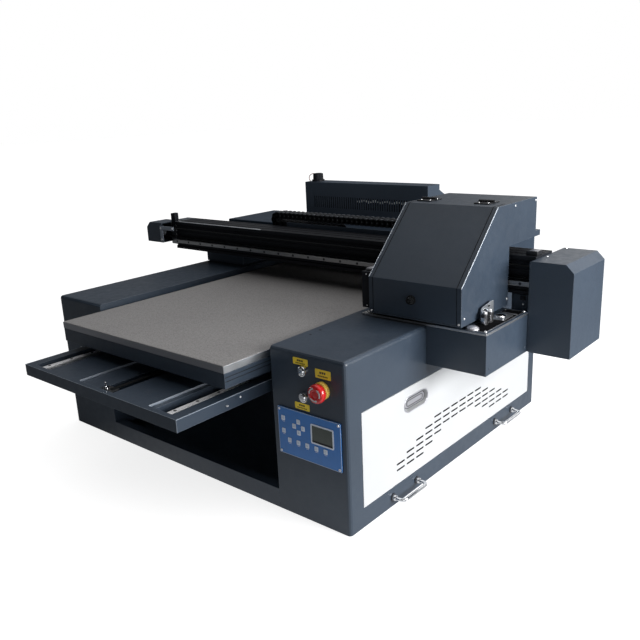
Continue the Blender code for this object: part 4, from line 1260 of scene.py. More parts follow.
def chain_top_highlights(count, pitch, start, z, y, thick):
    """The snap-on bars over a run of links, with a small pin on each flank, in a lighter grey for the
    highlights along the chain's top: painted highlight.
    """
    parts = []
    for i in range(count):
        left = start + (i + 0.24) * pitch
        top = z + thick / 2
        for across in (near(y[0], -0.0004, 0.005), near(y[1], -0.005, 0.0004)):
            bar = box_mesh(near(left, 0, 0.5 * pitch), across, near(top, -0.003, 0.0006), 0.0005, 2)
            parts.append(bar)
        hub = arc((left + 0.58 * pitch, z), 0.0026, 0, 330, 11)
        parts.append(prism_mesh(hub, "y", y[0] - 0.0006, y[0] + 0.0004))
    return parts


def build_chain():
    """The two runs of the cable chain, and the bend, which moves half as far as the carriage."""
    upper, lower, bend = Box("chain_upper"), Box("chain_lower"), Box("chain_bend")
    thick = CHAIN_HEIGHT
    inset = 0.0008
    y = upper.y(inset, -inset)
    high, low = upper.top - thick / 2, lower.bottom + thick / 2
    length = upper.right - upper.left
    count = round(length / CHAIN_PITCH)
    top_highlights = chain_top_highlights(count, length / count, upper.left, high, y, thick - inset)
    run = piece("chain_top_highlights_upper", top_highlights, TOP_HIGHLIGHT, "carriage")
    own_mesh(run)
    run = piece(
        "chain_links_upper", links_along(count, length / count, upper.left, high, y, thick - inset), LINK,
        "carriage", stands_for=["chain_upper"],
    )
    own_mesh(run)
    length = lower.right - lower.left
    count = round(length / CHAIN_PITCH)
    run = piece(
        "chain_links_lower", links_along(count, length / count, lower.left, low, y, thick - inset), LINK,
        None, stands_for=["chain_lower"],
    )
    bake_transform(run)
    centre = (bend.right, bend.middle.z)
    radius = (bend.top - bend.bottom - thick) / 2
    turn = 180 / BEND_LINKS
    half = radius * math.tan(math.radians(turn / 2)) * 1.02
    links = []
    for i in range(BEND_LINKS):
        link = link_mesh(2 * half, y, thick - inset)
        angle = 90 + turn * (i + 0.5)
        bmesh.ops.translate(link, vec=(-half, 0, 0), verts=link.verts)
        tilted(link, (0, 0, 0), "Y", 90 - angle)
        across, up = arc(centre, radius, angle, angle, 1)[0]
        bmesh.ops.translate(link, vec=(across, 0, up), verts=link.verts)
        links.append(link)
    piece("chain_links_bend", links, LINK, "chain_loop", stands_for=["chain_bend"])


# Bed and platform

# Half of the tray's width, without the lugs that the screws go through
TRAY_HALF = 0.292
THREAD_PITCH = 0.005
SCREW_CORNERS = ("front_left", "rear_left", "front_right", "rear_right")


def build_bed_fittings():
    """The bed plate's bare edges, brighter at the sides than at the front and back as painted light, the
    painted shade of the frame's grooves, and its screws.
    """
    plate, base = Box("table_plate"), Box("table_frame")
    thick = 0.0007
    z = plate.z(0.0004, -0.001)
    y = plate.y()
    x = plate.x()
    # The right and left edges bright aluminium, the front and back a darker grey metal, though all are one
    # bare edge: painted light and shade
    piece("bed_edge_right", box_mesh(near(x[1], -0.0002, thick), y, z), ALUMINIUM, "bed", bevel=0.0002)
    piece("bed_edge_left", box_mesh(near(x[0], -thick, 0.0002), y, z), ALUMINIUM, "bed", bevel=0.0002)
    piece("bed_edge_front", box_mesh(x, near(y[0], -thick, 0.0002), z), CAST, "bed", bevel=0.0002)
    piece("bed_edge_back", box_mesh(x, near(y[1], -0.0002, thick), z), CAST, "bed", bevel=0.0002)
    # Black strips where grooves run along the frame's sides: painted shade
    lines = []
    for drop in (0.0085, 0.0175):
        top = base.top - drop
        for side in (x[0], x[1]):
            lines.append(box_mesh(about(side, 0.0003), grown(y, -0.001), near(top, -0.0016, 0)))
    piece("bed_side_groove_shade", lines, BLACK, "bed")
    depths = (0.04, 0.25, 0.46, 0.67, 0.87)
    for name, edge, direction in (("right", x[1], RIGHT), ("left", x[0], LEFT)):
        spots = [(edge, y[0] + depth, base.bottom + 0.012) for depth in depths]
        screws("bed_screws_" + name, spots, direction, "bed", radius=0.0022, height=0.001)
    under = [(a, b, base.bottom) for a in grown(x, -0.01) for b in (y[0] + 0.01, 0, y[1] - 0.01)]
    screws("bed_screws_under", under, DOWN, "bed", radius=0.003, height=0.0016)


def build_tray_fittings():
    """The belt's tensioner and idler mount, pale strips of painted highlight on the tray's edges, and the
    nuts on the lift screws.
    """
    tray, idler = Box("tray"), Box("y_idler_pulley")
    floor = Box("y_rail_right").bottom
    middle = idler.middle
    ledge = tray.top - 0.005
    bolt = (middle.x - 0.0185, tray.front + 0.0268, ledge)
    bridge = rounded((bolt[0] - 0.011, middle.x + 0.014), near(tray.front, 0.0158, 0.042), 0.003)
    piece(
        "belt_tension_plate", prism_mesh(bridge, "z", ledge - 0.0002, ledge + 0.0014), DARK_CAST,
        "platform", bevel=0.0003,
    )
    bolt = (bolt[0], bolt[1], ledge + 0.0014)
    head = [
        (0, 0.0145), (0.002, 0.0145), (0.0026, 0.0138), (0.0026, 0.0048), (0.0048, 0.0048, *HEX),
        (0.005, 0.0016, *HEX), (0.008, 0.0016), (0.0082, 0.0012), (0.0082, 0), (0, 0),
    ]
    piece("belt_tension_bolt", turned(head, bolt, UP, 36), CHROME, "platform")
    reach = (idler.right - idler.left) / 2
    foot = tray.front + 0.0142
    outline = [
        (foot, floor),
        (middle.y + 0.016, floor),
        (middle.y + 0.016, middle.z - 0.002),
        (middle.y + 0.006, middle.z + 0.0095),
        (middle.y - 0.008, middle.z + 0.0095),
        (foot, middle.z + 0.002),
    ]
    cheeks = []
    for side in (-1, 1):
        x = sorted(near(middle.x, side * (reach + 0.0008), side * (reach + 0.003)))
        cheeks.append(prism_mesh(outline, "x", *x))
    piece("belt_idler_cheeks", cheeks, ANODISED, "platform", bevel=0.0004)
    axle = turned(
        rod(0.0028, 2 * reach + 0.0072), (middle.x - reach - 0.0036, middle.y, middle.z), RIGHT, 20,
    )
    piece("belt_idler_axle", axle, CHROME, "platform")
    # Pale strips along the tray's ledges, rims and front corner: painted highlight
    lines = []
    inside = tray.y(0.015, -0.015)
    for x in (-0.073, 0.186):
        lines.append(
            box_mesh(near(x, -0.0012, 0.0002), inside, (ledge + 0.0005, tray.top + 0.0003), 0.0003, 2),
        )
    for x in (-TRAY_HALF, TRAY_HALF):
        lines.append(box_mesh(about(x, 0.0005), tray.y(), near(tray.top, -0.0012, 0.0004), 0.0002, 1))
    lines.append(box_mesh(
        (-TRAY_HALF, TRAY_HALF), near(tray.front, 0, 0.0008), near(tray.top, -0.0008, 0.0003), 0.0002,
        1,
    ))
    lines.append(
        box_mesh(near(TRAY_HALF, -0.0006, 0.0004), near(tray.front, 0, 0.0008), tray.z(0.001), 0.0002, 1),
    )
    piece("tray_edge_highlights", lines, LIGHT_TRIM_AND_HIGHLIGHT, "platform")
    # Dark dots where the tray's front has two holes: painted shade
    hole_dot = [(0, 0.0002), (0.0015, 0.0001), (0.0022, 0.0005), (0.0026, 0), (0.0026, -0.0004), (0, -0.0004)]
    spots = [(middle.x - 0.038, tray.front + 0.0006, tray.top - drop) for drop in (0.0085, 0.0205)]
    piece("tray_front_hole_shade", [turned(hole_dot, spot, FRONT, 18) for spot in spots], BLACK, "platform")
    ring = [
        (0.0022, 0.0006), (0.003, 0.001), (0.004, 0.0006), (0.0044, -0.0004), (0.0022, -0.0004),
        (0.0022, 0.0006),
    ]
    grommets = [
        turned(ring, (middle.x - 0.034, y, tray.top - 0.005), UP, 20)
        for y in (tray.front + 0.127, tray.front + 0.4, tray.back - 0.2)
    ]
    piece("tray_grommets", grommets, BLACK, "platform")
    nut = [(0.0053, 0.005), (0.0063, 0.0055), (0.0068, 0.005), (0.0068, 0.0022)]
    nut += [(0.0071, 0.002), (0.0071, 0), (0.0053, 0), (0.0053, 0.005)]
    nuts = []
    heads = []
    for corner in SCREW_CORNERS:
        spindle = Box("lift_screw_" + corner).middle
        place = (spindle.x, spindle.y, tray.top - 0.002)
        nuts.append(turned(nut, place, UP, 32))
        heads += [(place[0], place[1] + shift, place[2]) for shift in (-0.0125, 0.0125)]
    piece("lift_nuts", nuts, BRASS, "platform")
    screws("lift_nut_screws", heads, UP, "platform", radius=0.0022, height=0.0016)


def thread_mesh(screw):
    """A trapezoidal thread: the radius rises and falls along a helix."""
    rows_per_turn = 8
    steps = 16
    outer = (screw.right - screw.left) / 2 - 0.00005
    root = outer - 0.001
    height = screw.top - screw.bottom
    rows = int(height / THREAD_PITCH * rows_per_turn)
    mesh = bmesh.new()
    rings = []
    for i in range(rows + 1):
        z = screw.bottom + height * i / rows
        ring = []
        for k in range(steps):
            angle = 2 * math.pi * k / steps
            phase = ((z - screw.bottom) / THREAD_PITCH - k / steps) % 1
            rise = min(max(2.2 - abs(phase - 0.5) * 8, 0), 1)
            plain = min(i, rows - i) < 3
            radius = root if plain else root + (outer - root) * rise
            ring.append(mesh.verts.new(
                (
                    screw.middle.x + radius * math.cos(angle),
                    screw.middle.y + radius * math.sin(angle), z,
                ),
            ))
        rings.append(ring)
    for first, second in zip(rings, rings[1:]):
        for k in range(steps):
            following = (k + 1) % steps
            mesh.faces.new((first[k], first[following], second[following], second[k]))
    mesh.faces.new(rings[0][::-1])
    mesh.faces.new(rings[-1])
    return mesh


def build_lift_screws():
    """A threaded spindle at each corner, with its bearing in the pan."""
    bearing = [
        (0.0056, 0.006), (0.009, 0.006), (0.01, 0.005), (0.0105, 0.003), (0.0105, 0), (0.0056, 0),
        (0.0056, 0.006),
    ]
    for corner in SCREW_CORNERS:
        node = "lift_screw_" + corner
        screw = Box(node)
        piece(
            "threaded_screw_" + corner, thread_mesh(screw), STEEL_Z, "screw_" + corner, stands_for=[node],
            angle=60,
        )
        foot = (screw.middle.x, screw.middle.y, screw.bottom + 0.0002)
        piece("screw_bearing_" + corner, turned(bearing, foot, UP, 32), CAST)


# Pulleys and belts

TOOTH_PITCH = 0.005


def pulley(node, name, body, axis, teeth):
    """A toothed pulley: the beam's have a flange at each end, the bed's have a thin hub."""
    wheel = Box(node)
    radius = (wheel.top - wheel.bottom) / 2
    if axis == RIGHT:
        width = wheel.right - wheel.left
        half = [(0, 0), (0.5 * radius, 0), (0.5 * radius, 0.002), (radius, 0.002, teeth, 0.09)]
        place = (wheel.left, wheel.middle.y, wheel.middle.z)
    else:
        width = wheel.back - wheel.front
        hub = radius - 0.0038
        half = [(0, 0), (0.8 * radius, 0), (radius, 0.0008), (radius, 0.0014), (hub, 0.0014, teeth, 0.09)]
        place = (wheel.middle.x, wheel.front, wheel.middle.z)
    profile = half + [(reach, width - rise, *wave) for reach, rise, *wave in reversed(half)]
    piece(name, turned(profile, place, axis, teeth * 4), ALUMINIUM, body, stands_for=[node], angle=40)


def belt_mesh(radius, thick, first, last, height, width_span, along_x):
    """A toothed belt round two wheels: a thin band with teeth inside."""
    span = last - first
    total = 2 * span + 2 * math.pi * radius
    count = int(total / TOOTH_PITCH)

    def spot(s, reach):
        s = s % total
        if s < span:
            return first + s, height + reach
        if s < span + math.pi * radius:
            a = (s - span) / radius
            return last + reach * math.sin(a), height + reach * math.cos(a)
        if s < 2 * span + math.pi * radius:
            return last - (s - span - math.pi * radius), height - reach
        a = (s - 2 * span - math.pi * radius) / radius
        return first - reach * math.sin(a), height - reach * math.cos(a)

    mesh = bmesh.new()
    rows = []
    for i in range(count):
        for share, depth in ((0.0, 0.0), (0.12, 0.7), (0.42, 0.7), (0.54, 0.0)):
            s = (i + share) * total / count
            inner = spot(s, radius + thick * (0.45 - 0.4 * depth))
            outer = spot(s, radius + thick)
            ring = []
            for (a, b), t in ((inner, 0), (outer, 0), (outer, 1), (inner, 1)):
                ring.append(mesh.verts.new((a, width_span[t], b) if along_x else (width_span[t], a, b)))
            rows.append(ring)
    for i, ring in enumerate(rows):
        following = rows[(i + 1) % len(rows)]
        for k in range(4):
            mesh.faces.new((ring[k], ring[(k + 1) % 4], following[(k + 1) % 4], following[k]))
    return mesh


def build_drives():
    """Pulleys, belts and the beam's motor."""
    pulley("idler_pulley", "beam_idler_pulley", "idler", BACK, 17)
    pulley("drive_pulley", "beam_drive_pulley", "drive", BACK, 17)
    pulley("y_idler_pulley", "bed_idler_wheel", "bed_idler", RIGHT, 11)
    pulley("y_drive_pulley", "bed_drive_wheel", "bed_drive", RIGHT, 11)
    belt, first, last = Box("x_belt"), Box("idler_pulley"), Box("drive_pulley")
    thick = 0.0015
    radius = (belt.top - belt.bottom) / 2 - thick
    band = belt_mesh(radius, thick, first.middle.x, last.middle.x, belt.middle.z, belt.y(), True)
    piece("beam_belt", band, RUBBER, stands_for=["x_belt"], angle=50)
    belt, first, last = Box("y_belt"), Box("y_idler_pulley"), Box("y_drive_pulley")
    radius = (belt.top - belt.bottom) / 2 - thick
    band = belt_mesh(radius, thick, first.middle.y, last.middle.y, belt.middle.z, belt.x(), False)
    piece("bed_belt", band, RUBBER, "platform", stands_for=["y_belt"], angle=50)
    motor = Box("x_motor")
    outline = rounded(motor.x(), motor.z(), 0.006)
    bodies = [
        prism_mesh(outline, "y", motor.front, motor.front + 0.012),
        prism_mesh(outline, "y", motor.back - 0.012, motor.back),
    ]
    middle = prism_mesh(
        rounded(motor.x(0.0015, -0.0015), motor.z(0.0015, -0.0015), 0.012), "y", motor.front + 0.011,
        motor.back - 0.011,
    )
    piece("beam_motor_ends", bodies, ALUMINIUM, stands_for=["x_motor"], bevel=0.0006)
    piece("beam_motor_middle", middle, BLACK, bevel=0.0004)


# Maintenance station


def build_station():
    """The pump, the tub's deck with its flushing port, and the cap station's pads and spring."""
    build_pump()
    build_deck()
    build_cap_station()


def build_pump():
    """Two dark columns on a bright plate."""
    pump = Box("pump_bracket")
    plate_x = near(pump.left, 0, 0.0028)
    shift = 0.006  # the pump stands this far behind its CAD bracket
    plate_y = (pump.front + 0.016 + shift, pump.back + 0.014 + shift)
    plate_top = pump.top - 0.01
    outline = [
        (plate_y[0], pump.bottom), (plate_y[1], pump.bottom), (plate_y[1], plate_top),
        (plate_y[1] - 0.012, plate_top),
    ]
    outline += [(plate_y[0] + 0.006, plate_top - 0.006), (plate_y[0], plate_top - 0.01)]
    piece(
        "pump_plate", prism_mesh(outline, "x", *plate_x), ALUMINIUM, stands_for=["pump_bracket"],
        bevel=0.0004,
    )
    # Dark ovals in the plate's slots: painted shade
    slots = []
    for y, z in ((plate_y[0] + 0.014, plate_top - 0.013), (plate_y[0] + 0.033, plate_top - 0.0085)):
        oval = rounded(about(y, 0.0045), about(z, 0.0016), 0.0015)
        slots.append(prism_mesh(oval, "x", plate_x[1] - 0.0003, plate_x[1] + 0.0003))
    piece("pump_plate_slots", slots, SHADE_AND_DARK_JOINT)
    columns = []
    caps = []
    rings_and_highlights = []
    for y in (pump.front + 0.016 + shift, pump.front + 0.041 + shift):
        across = (plate_x[1] - 0.0003, pump.right)
        low = pump.top - 0.11
        high = pump.top - 0.03
        columns.append(prism_mesh(rounded(across, about(y, 0.008), 0.0055), "z", low, high))
        middle = ((across[0] + across[1]) / 2, y, high)
        columns.append(turned(
            [
                (0, 0.005), (0.0035, 0.0046), (0.0058, 0.0028), (0.0064, 0.0008), (0.0064, -0.001),
                (0, -0.001),
            ],
            middle, UP,
        ))
        ring = [
            (0.004, 0.0058), (0.0054, 0.006), (0.006, 0.005), (0.006, 0.0026), (0.004, 0.0026),
            (0.004, 0.0058),
        ]
        rings_and_highlights.append(turned(ring, middle, UP, 32))
        # A chrome strip down each column's flank: painted highlight
        rings_and_highlights.append(box_mesh(
            (across[0] + 0.002, across[1] - 0.001), near(y, -0.0086, -0.0074), (low, high - 0.006),
            0.0005,
        ))
        caps.append((middle[0], y, high + 0.0048))
    columns.append(box_mesh(
        (plate_x[1] - 0.0003, pump.right - 0.003),
        (pump.front + 0.02 + shift, pump.front + 0.038 + shift), near(pump.top, -0.062, -0.048), 0.002,
    ))
    piece("pump_columns", columns, DARK_CAST, bevel=0.0004)
    piece("pump_rings_and_highlights", rings_and_highlights, CHROME)
    screws("pump_screws", caps, UP, radius=0.0028)


def build_deck():
    """The well beside the hood, a dark sheet of painted shade, with its port and tongue, and the deck's
    border, boss and screws.
    """
    deck, hood, tub = Box("maintenance_deck"), Box("hood"), Box("maintenance_box")
    top = deck.top
    inner_x = (hood.right + 0.0016, deck.right - 0.0085)
    inner_y = deck.y(0.0085, -0.0085)
    well = rounded(inner_x, inner_y, 0.003)
    # A dark sheet over the well's floor: painted shade
    piece("deck_well_shade", prism_mesh(well, "z", top - 0.0004, top + 0.0005), SHADE_AND_DARK_JOINT)
    lip = rounded((inner_x[0], inner_x[1] + 0.0022), grown(inner_y, 0.0022), 0.004)
    lining = frame_mesh(lip, well, "z", top - 0.0004, top + 0.0016)
    piece("deck_lining", lining, SHEET_STEEL, bevel=0.0003)
    outer = rounded(near(deck.right, -0.13, 0), deck.y(), 0.003)
    inner = rounded((inner_x[0], inner_x[1] + 0.0023), grown(inner_y, 0.0023), 0.004)
    border = frame_mesh(outer, inner, "z", top - 0.0006, top + 0.001)
    piece("deck_border", border, PAINT, bevel=0.0004)
    tongue = rounded((inner_x[0] + 0.0006, inner_x[1] - 0.006), (-0.042, 0.012), 0.006)
    piece("deck_tongue", prism_mesh(tongue, "z", top + 0.0004, top + 0.0022), SHEET_STEEL, bevel=0.0004)
    port = (hood.right + 0.017, -0.012, top + 0.0021)
    rim = [(0.0105, 0.0022), (0.0122, 0.0026), (0.0136, 0.0018), (0.014, 0), (0.0105, 0), (0.0105, 0.0022)]
    piece("flush_port_rim", turned(rim, port, UP, 40), CHROME)
    # A dark dish in the port: painted shade of its hole
    hole = [(0, 0.0003), (0.006, 0.0003), (0.007, 0.0012), (0.0106, 0.0012), (0.0106, 0), (0, 0)]
    piece("flush_port_shade", turned(hole, port, UP, 32), SHADE_AND_DARK_JOINT)
    bar = box_mesh(grown(inner_x, -0.001), (0.0165, 0.0205), near(top, 0.0004, 0.0024), 0.0006)
    piece("deck_crossbar", bar, SHEET_STEEL)
    boss = [
        (0, 0.0085), (0.006, 0.0082), (0.0115, 0.0064), (0.0145, 0.0032), (0.0152, 0.0004),
        (0.0152, -0.001), (0, -0.001),
    ]
    piece("deck_boss", turned(boss, (hood.right + 0.0125, deck.front + 0.0165, top), UP, 40), SILVER)
    spots = [(deck.right - 0.008, deck.front + 0.01, top), (deck.right - 0.008, deck.back - 0.008, top)]
    screws("deck_screws", spots, UP, radius=0.0034, height=0.0036)
    left = [(deck.left + 0.007, y, top) for y in deck.y(0.01, -0.01)]
    screws("deck_screws_left", left, UP, radius=0.003)
    side = [(tub.right, y, tub.bottom + 0.014) for y in tub.y(0.016, -0.016)]
    screws("tub_screws", side, RIGHT, look=PAINT, height=0.0012)


def build_cap_station():
    """The pads in the cap station's top, and the spring that lifts it."""
    caps = Box("cap_station")
    pads = []
    for i in range(7):
        y = caps.front + 0.018 + i * 0.012
        pads.append(box_mesh(
            caps.x(0.0155, -0.0155), near(y, 0, 0.008), near(caps.top, -0.0045, -0.0022), 0.0006, 2,
        ))
    piece("cap_pads", pads, TANK, "caps")
    spring = []
    turns, steps = 6, 14
    reach = 0.0185
    for i in range(turns * steps + 1):
        a = 2 * math.pi * i / steps
        rise = 0.004 + 0.026 * i / (turns * steps)
        spring.append(
            (caps.middle.x + reach * math.cos(a), caps.middle.y + reach * math.sin(a), caps.bottom + rise),
        )
    tube("cap_spring", spring, 0.0011, CHROME, "caps")


# Cabinet fittings


def build_handles():
    """Bent rods with collars and nuts at the foot of the right side."""
    wall = Box("tower_cover").right
    collar = [
        (0.0043, 0.0096), (0.006, 0.0094), (0.0068, 0.008), (0.007, 0.0028), (0.0043, 0.0028),
        (0.0043, 0.0096),
    ]
    flats = (6, 0.1)
    nut = [(0.0046, 0.003), (0.009, 0.003, *flats), (0.0094, 0.0024, *flats), (0.0094, 0.0001, *flats)]
    nut += [(0.0046, 0.0001), (0.0046, 0.003)]
    bend = 0.0115
    for end in ("front", "rear"):
        node = "handle_" + end
        handle = Box(node)
        radius = (handle.top - handle.bottom) / 2
        first, last = handle.front + radius, handle.back - radius
        reach = handle.right - radius
        turns = arc((first + bend, reach - bend), bend, 180, 90, 10)
        turns += arc((last - bend, reach - bend), bend, 90, 0, 10)
        line = [(wall + 0.0004, first)] + [(x, y) for y, x in turns] + [(wall + 0.0004, last)]
        points = [(x, y, handle.middle.z) for x, y in line]
        tube("handle_rod_" + end, points, radius, CHROME, stands_for=[node])
        feet = [(wall, y, handle.middle.z) for y in (first, last)]
        piece("handle_collars_" + end, [turned(collar, foot, RIGHT, 36) for foot in feet], CHROME)
        piece("handle_nuts_" + end, [turned(nut, foot, RIGHT, 48) for foot in feet], DARK_CAST)


# The slots in the door, at the places where part.py cuts them. SLOT_ROWS holds the first and last
# row of each column, up to the middle.
SLOT_LENGTH = 0.031
SLOT_HEIGHT = 0.0035
SLOT_PITCH = 0.04
SLOT_ROW = 0.0146
SLOT_START = (-0.2716, 0.1538)
SLOT_ROWS = ((4, 5), (3, 5), (2, 5), (1, 4), (0, 3), (0, 2), (0, 2))


def build_door_slots(door):
    """Painted shade in the door's slots, which are set out in an arch: a dark filling in each."""
    columns = 2 * len(SLOT_ROWS)
    slot_shades = []
    for column in range(columns):
        first, last = SLOT_ROWS[min(column, columns - 1 - column)]
        start = SLOT_START[0] + column * SLOT_PITCH
        for row in range(first, last + 1):
            middle = SLOT_START[1] - row * SLOT_ROW
            y = (start + 0.0008, start + SLOT_LENGTH - 0.0008)
            z = (middle - SLOT_HEIGHT / 2 - 0.0003, middle + SLOT_HEIGHT / 2 + 0.0003)
            slot_shades.append(box_mesh(near(door.right, -0.0036, 0.0002), y, z))
    piece("door_slot_shade", slot_shades, SHADE_AND_DARK_JOINT, "door")


def build_door_fittings():
    """The latch's rim, gap and grip, and the door's hinge leaves."""
    door, latch = Box("side_door"), Box("latch_paddle")
    build_door_slots(door)
    cup_y = latch.y(-0.006, 0.006)
    cup_z = latch.z(-0.005, 0.005)
    radius = (cup_z[1] - cup_z[0]) / 2
    outer = rounded(grown(cup_y, 0.003), grown(cup_z, 0.003), radius + 0.0029, 12)
    inner = rounded(cup_y, cup_z, radius - 0.0001, 12)
    piece(
        "latch_rim", frame_mesh(outer, inner, "x", door.right - 0.0002, door.right + 0.0012), SILVER,
        "door", bevel=0.0005,
    )
    slit_outer = rounded(latch.y(-0.0008, 0.0008), latch.z(-0.0008, 0.0008), radius - 0.004, 12)
    slit_inner = rounded(latch.y(0.0008, -0.0008), latch.z(0.0008, -0.0008), radius - 0.0056, 12)
    piece(
        "latch_shadow_gap",
        frame_mesh(slit_outer, slit_inner, "x", latch.right - 0.002, latch.right + 0.0002), SHADE_AND_DARK_JOINT, "door",
    )
    grip = rounded(latch.y(0.008, -0.008), latch.z(0.004, -0.004), 0.006, 8)
    inner_grip = rounded(latch.y(0.0095, -0.0095), latch.z(0.0055, -0.0055), 0.0045, 8)
    piece(
        "latch_grip", frame_mesh(grip, inner_grip, "x", latch.right - 0.0002, latch.right + 0.001),
        DARK_CAST, "latch", bevel=0.0003,
    )
    leaves = []
    for y in door.y(0.08, -0.12):
        leaves.append(box_mesh(
            near(door.left, -0.0022, 0.0002), near(y, 0, 0.04), near(door.bottom, 0.002, 0.024),
            0.0008,
        ))
    piece("door_hinge_leaves", leaves, CAST, "door")


# The slots in the vent box's front, as part.py cuts them, and those that pipes show through
VENT_SLOTS = 46
VENT_PITCH = 0.0088
VENT_SLOT_WIDTH = 0.0036
VENT_SLOT_Z = (0.566, 0.603)
PIPE_SLOTS = range(20, 41)


def build_vent_slots(box):
    """Painted shade in the vent box's slots, with pale pipes showing through some of them."""
    first = box.middle.x - (VENT_SLOTS - 1) * VENT_PITCH / 2
    half = VENT_SLOT_WIDTH / 2
    dark = []
    pale = []
    for i in range(VENT_SLOTS):
        x = first + i * VENT_PITCH
        dark.append(box_mesh(about(x, half), near(box.front, 0.0003, 0.0026), VENT_SLOT_Z))
        if i in PIPE_SLOTS:
            middle = VENT_SLOT_Z[1] - 0.01 - 0.0022 * math.sin(i * 1.3)
            reach = 0.0022 + 0.002 * (0.5 + 0.5 * math.sin(i * 2.1))
            pale.append(box_mesh(
                (x - half + 0.0004, x + half - 0.0004), near(box.front, 0.0001, 0.002),
                about(middle, reach), 0.0004, 2,
            ))
    piece("vent_slot_shade", dark, SHADE_AND_DARK_JOINT)
    piece("vent_slot_pipes", pale, TANK)


def build_tank_fittings():
    """The tank's ribbed cap with its tube, and the vent box's screws."""
    cap, box = Box("tank_cap"), Box("vent_box")
    build_vent_slots(box)
    radius = (cap.right - cap.left) / 2
    top = cap.top - cap.bottom
    profile = [
        (0, top), (0.55 * radius, top), (0.72 * radius, top - 0.0006),
        (0.79 * radius, top - 0.0022, 30, 0.05), (0.81 * radius, 0.0072, 30, 0.05), (0.83 * radius, 0.006),
        (0.97 * radius, 0.0056), (radius, 0.0044), (radius, 0), (0, 0),
    ]
    place = (cap.middle.x, cap.middle.y, cap.bottom)
    piece(
        "ribbed_cap", turned(profile, place, UP, 120), ANODISED,
        stands_for=["tank_cap"],
    )
    loop = []
    for i in range(25):
        share = i / 24
        angle = math.pi * (1.28 - 1.2 * share)
        across = cap.middle.x - 0.012 + 0.0195 * math.cos(angle)
        loop.append((across, cap.front + 0.01 + 0.006 * share, cap.top - 0.0148 + 0.0135 * math.sin(angle)))
    tube("vent_tube", loop, 0.0012, ORANGE)
    sides = [(box.right, y, box.bottom + 0.012) for y in box.y(0.012, -0.014)]
    screws("vent_screws_right", sides, RIGHT, radius=0.0026)
    screws("vent_screws_left", [(box.left, y, z) for _, y, z in sides], LEFT, radius=0.0026)
    back = [(x, box.back, box.bottom + 0.014) for x in (box.left + 0.02, box.middle.x, box.right - 0.02)]
    screws("vent_screws_back", back, BACK, radius=0.0026)


def build_rear():
    """Pins, switch, screws and louvres on the back, and the pan's foot bosses."""
    panel, inlet, housing, pan = Box("rear_panel"), Box("power_inlet"), Box("rear_housing"), Box("base_pan")
    z_middle = inlet.middle.z
    pins = []
    for a, b in ((-0.006, -0.003), (0.006, -0.003), (0, 0.004)):
        x, z = inlet.middle.x + a, z_middle + b
        pins.append(
            box_mesh(about(x, 0.001), near(inlet.back, -0.0085, -0.001), about(z, 0.0022), 0.0003, 1),
        )
    piece("inlet_pins", pins, CHROME)
    spots = [(x, inlet.back, z_middle) for x in inlet.x(0.006, -0.006)]
    screws("inlet_screws", spots, BACK, radius=0.0026)
    switch_x = near(inlet.right, 0.012, 0.036)
    back = panel.back
    frame_outline = rounded(switch_x, inlet.z(0.004, -0.004), 0.002)
    piece("switch_frame", prism_mesh(frame_outline, "y", back - 0.0002, back + 0.0022), BLACK, bevel=0.0005)
    rocker = box_mesh(grown(switch_x, -0.004), near(back, 0.0016, 0.0052), inlet.z(0.009, -0.009), 0.001)
    piece("switch_rocker", tilted(rocker, (switch_x[0], back + 0.002, z_middle), "X", 5), RED)
    edge = 0.012
    spots = [
        (x, back, z)
        for x in (panel.left + edge, panel.left + 0.19, panel.right - 0.19, panel.right - edge)
        for z in (0.05, 0.21, panel.top - edge)
    ]
    screws("rear_panel_screws", spots, BACK, radius=0.0034)
    spots = [(x, back, 0.014) for x in (-0.2, 0, 0.2)]
    screws("rear_foot_screws", spots, BACK, radius=0.0034)
    spots = [
        (x, housing.back, housing.bottom + 0.012)
        for x in (
            housing.left + 0.02, housing.left + 0.27, housing.middle.x, housing.right - 0.27,
            housing.right - 0.02,
        )
    ]
    screws("housing_screws", spots, BACK, radius=0.003)
    slats = []
    for start in panel.x(0.06, -0.18):
        for i in range(14):
            x = start + i * 0.009
            slats.append(box_mesh(near(x, 0, 0.0042), near(back, -0.0002, 0.0009), (0.25, 0.32), 0.0004, 1))
    piece("rear_vent_slats", slats, BLACK)
    boss = [(0, 0.0024), (0.016, 0.0024), (0.018, 0.001), (0.018, 0), (0, 0)]
    inset = 0.06
    spots = [(x, y, pan.bottom + 0.003) for x in pan.x(inset, -inset) for y in pan.y(inset, -inset)]
    piece("pan_foot_bosses", [turned(boss, spot, UP, 32) for spot in spots], CAST)


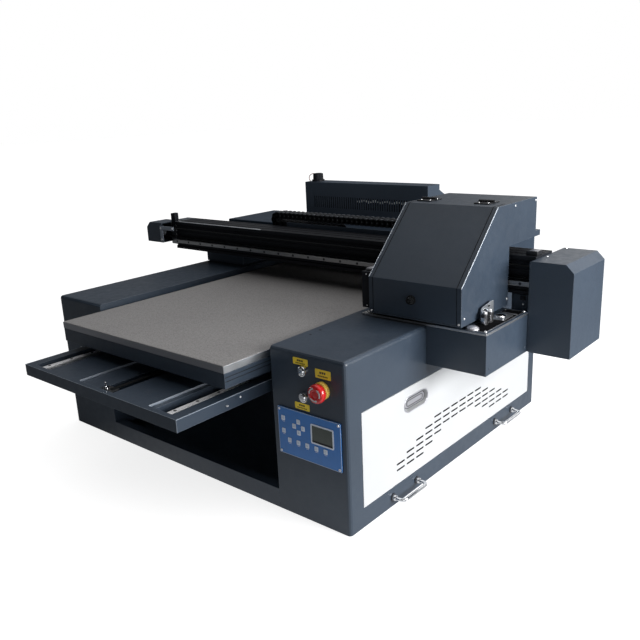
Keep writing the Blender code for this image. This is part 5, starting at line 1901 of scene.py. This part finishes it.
def build_inside():
    """What shows through an open service door or lid."""
    supply, bottle, board = Box("power_supply"), Box("waste_bottle"), Box("main_board")
    heads, frame_plate = Box("print_heads"), Box("carriage_frame")
    terminals = []
    for i in range(9):
        y = supply.front + 0.03 + i * 0.017
        terminals.append(box_mesh(
            near(supply.right, -0.014, -0.002), near(y, 0, 0.013), near(supply.top, -0.0002, 0.006),
            0.0008, 1,
        ))
    piece("supply_terminals", terminals, BLACK)
    cap = [
        (0, 0.012), (0.0215, 0.012), (0.0235, 0.0105, 26, 0.04), (0.024, 0.001, 26, 0.04), (0.0235, 0),
        (0, 0),
    ]
    piece(
        "bottle_cap", turned(cap, (bottle.middle.x, bottle.middle.y, bottle.top + 0.0002), UP, 104), BLACK,
    )
    nozzles = []
    sockets = []
    for left in heads.x(0, -0.04):
        x = near(left, 0.006, 0.034)
        nozzles.append(box_mesh(x, heads.y(0.008, -0.008), about(heads.bottom, 0.0004)))
        for y in (near(heads.front, 0.01, 0.022), near(heads.back, -0.024, -0.012)):
            sockets.append(box_mesh(near(left, 0.012, 0.028), y, near(heads.top, -0.0003, 0.007), 0.001, 2))
    piece("nozzle_plates", nozzles, GLASS, "carriage")
    piece("head_connectors", sockets, BLACK, "carriage")
    spots = [
        (x, frame_plate.front + 0.012, frame_plate.bottom + 0.006)
        for x in (frame_plate.left + 0.02, frame_plate.middle.x, frame_plate.right - 0.02)
    ]
    screws("shelf_screws", spots, UP, "carriage", radius=0.003)
    can = [(0, 0.011), (0.0038, 0.011), (0.0044, 0.0104), (0.0044, 0), (0, 0)]
    spots = [(board.left + 0.03 + i * 0.055, board.front + 0.012, board.bottom + 0.0079) for i in range(6)]
    piece("board_capacitors", [turned(can, spot, UP, 24) for spot in spots], CASE)


STEPS = (
    build_camera,
    build_studio,
    build_floor,
    dress_frame,
    build_controls,
    build_hood_fittings,
    build_lamp_fittings,
    build_rails,
    build_beam_fittings,
    build_chain,
    build_bed_fittings,
    build_tray_fittings,
    build_lift_screws,
    build_drives,
    build_station,
    build_handles,
    build_door_fittings,
    build_tank_fittings,
    build_rear,
    build_inside,
)

for build in STEPS:
    build()
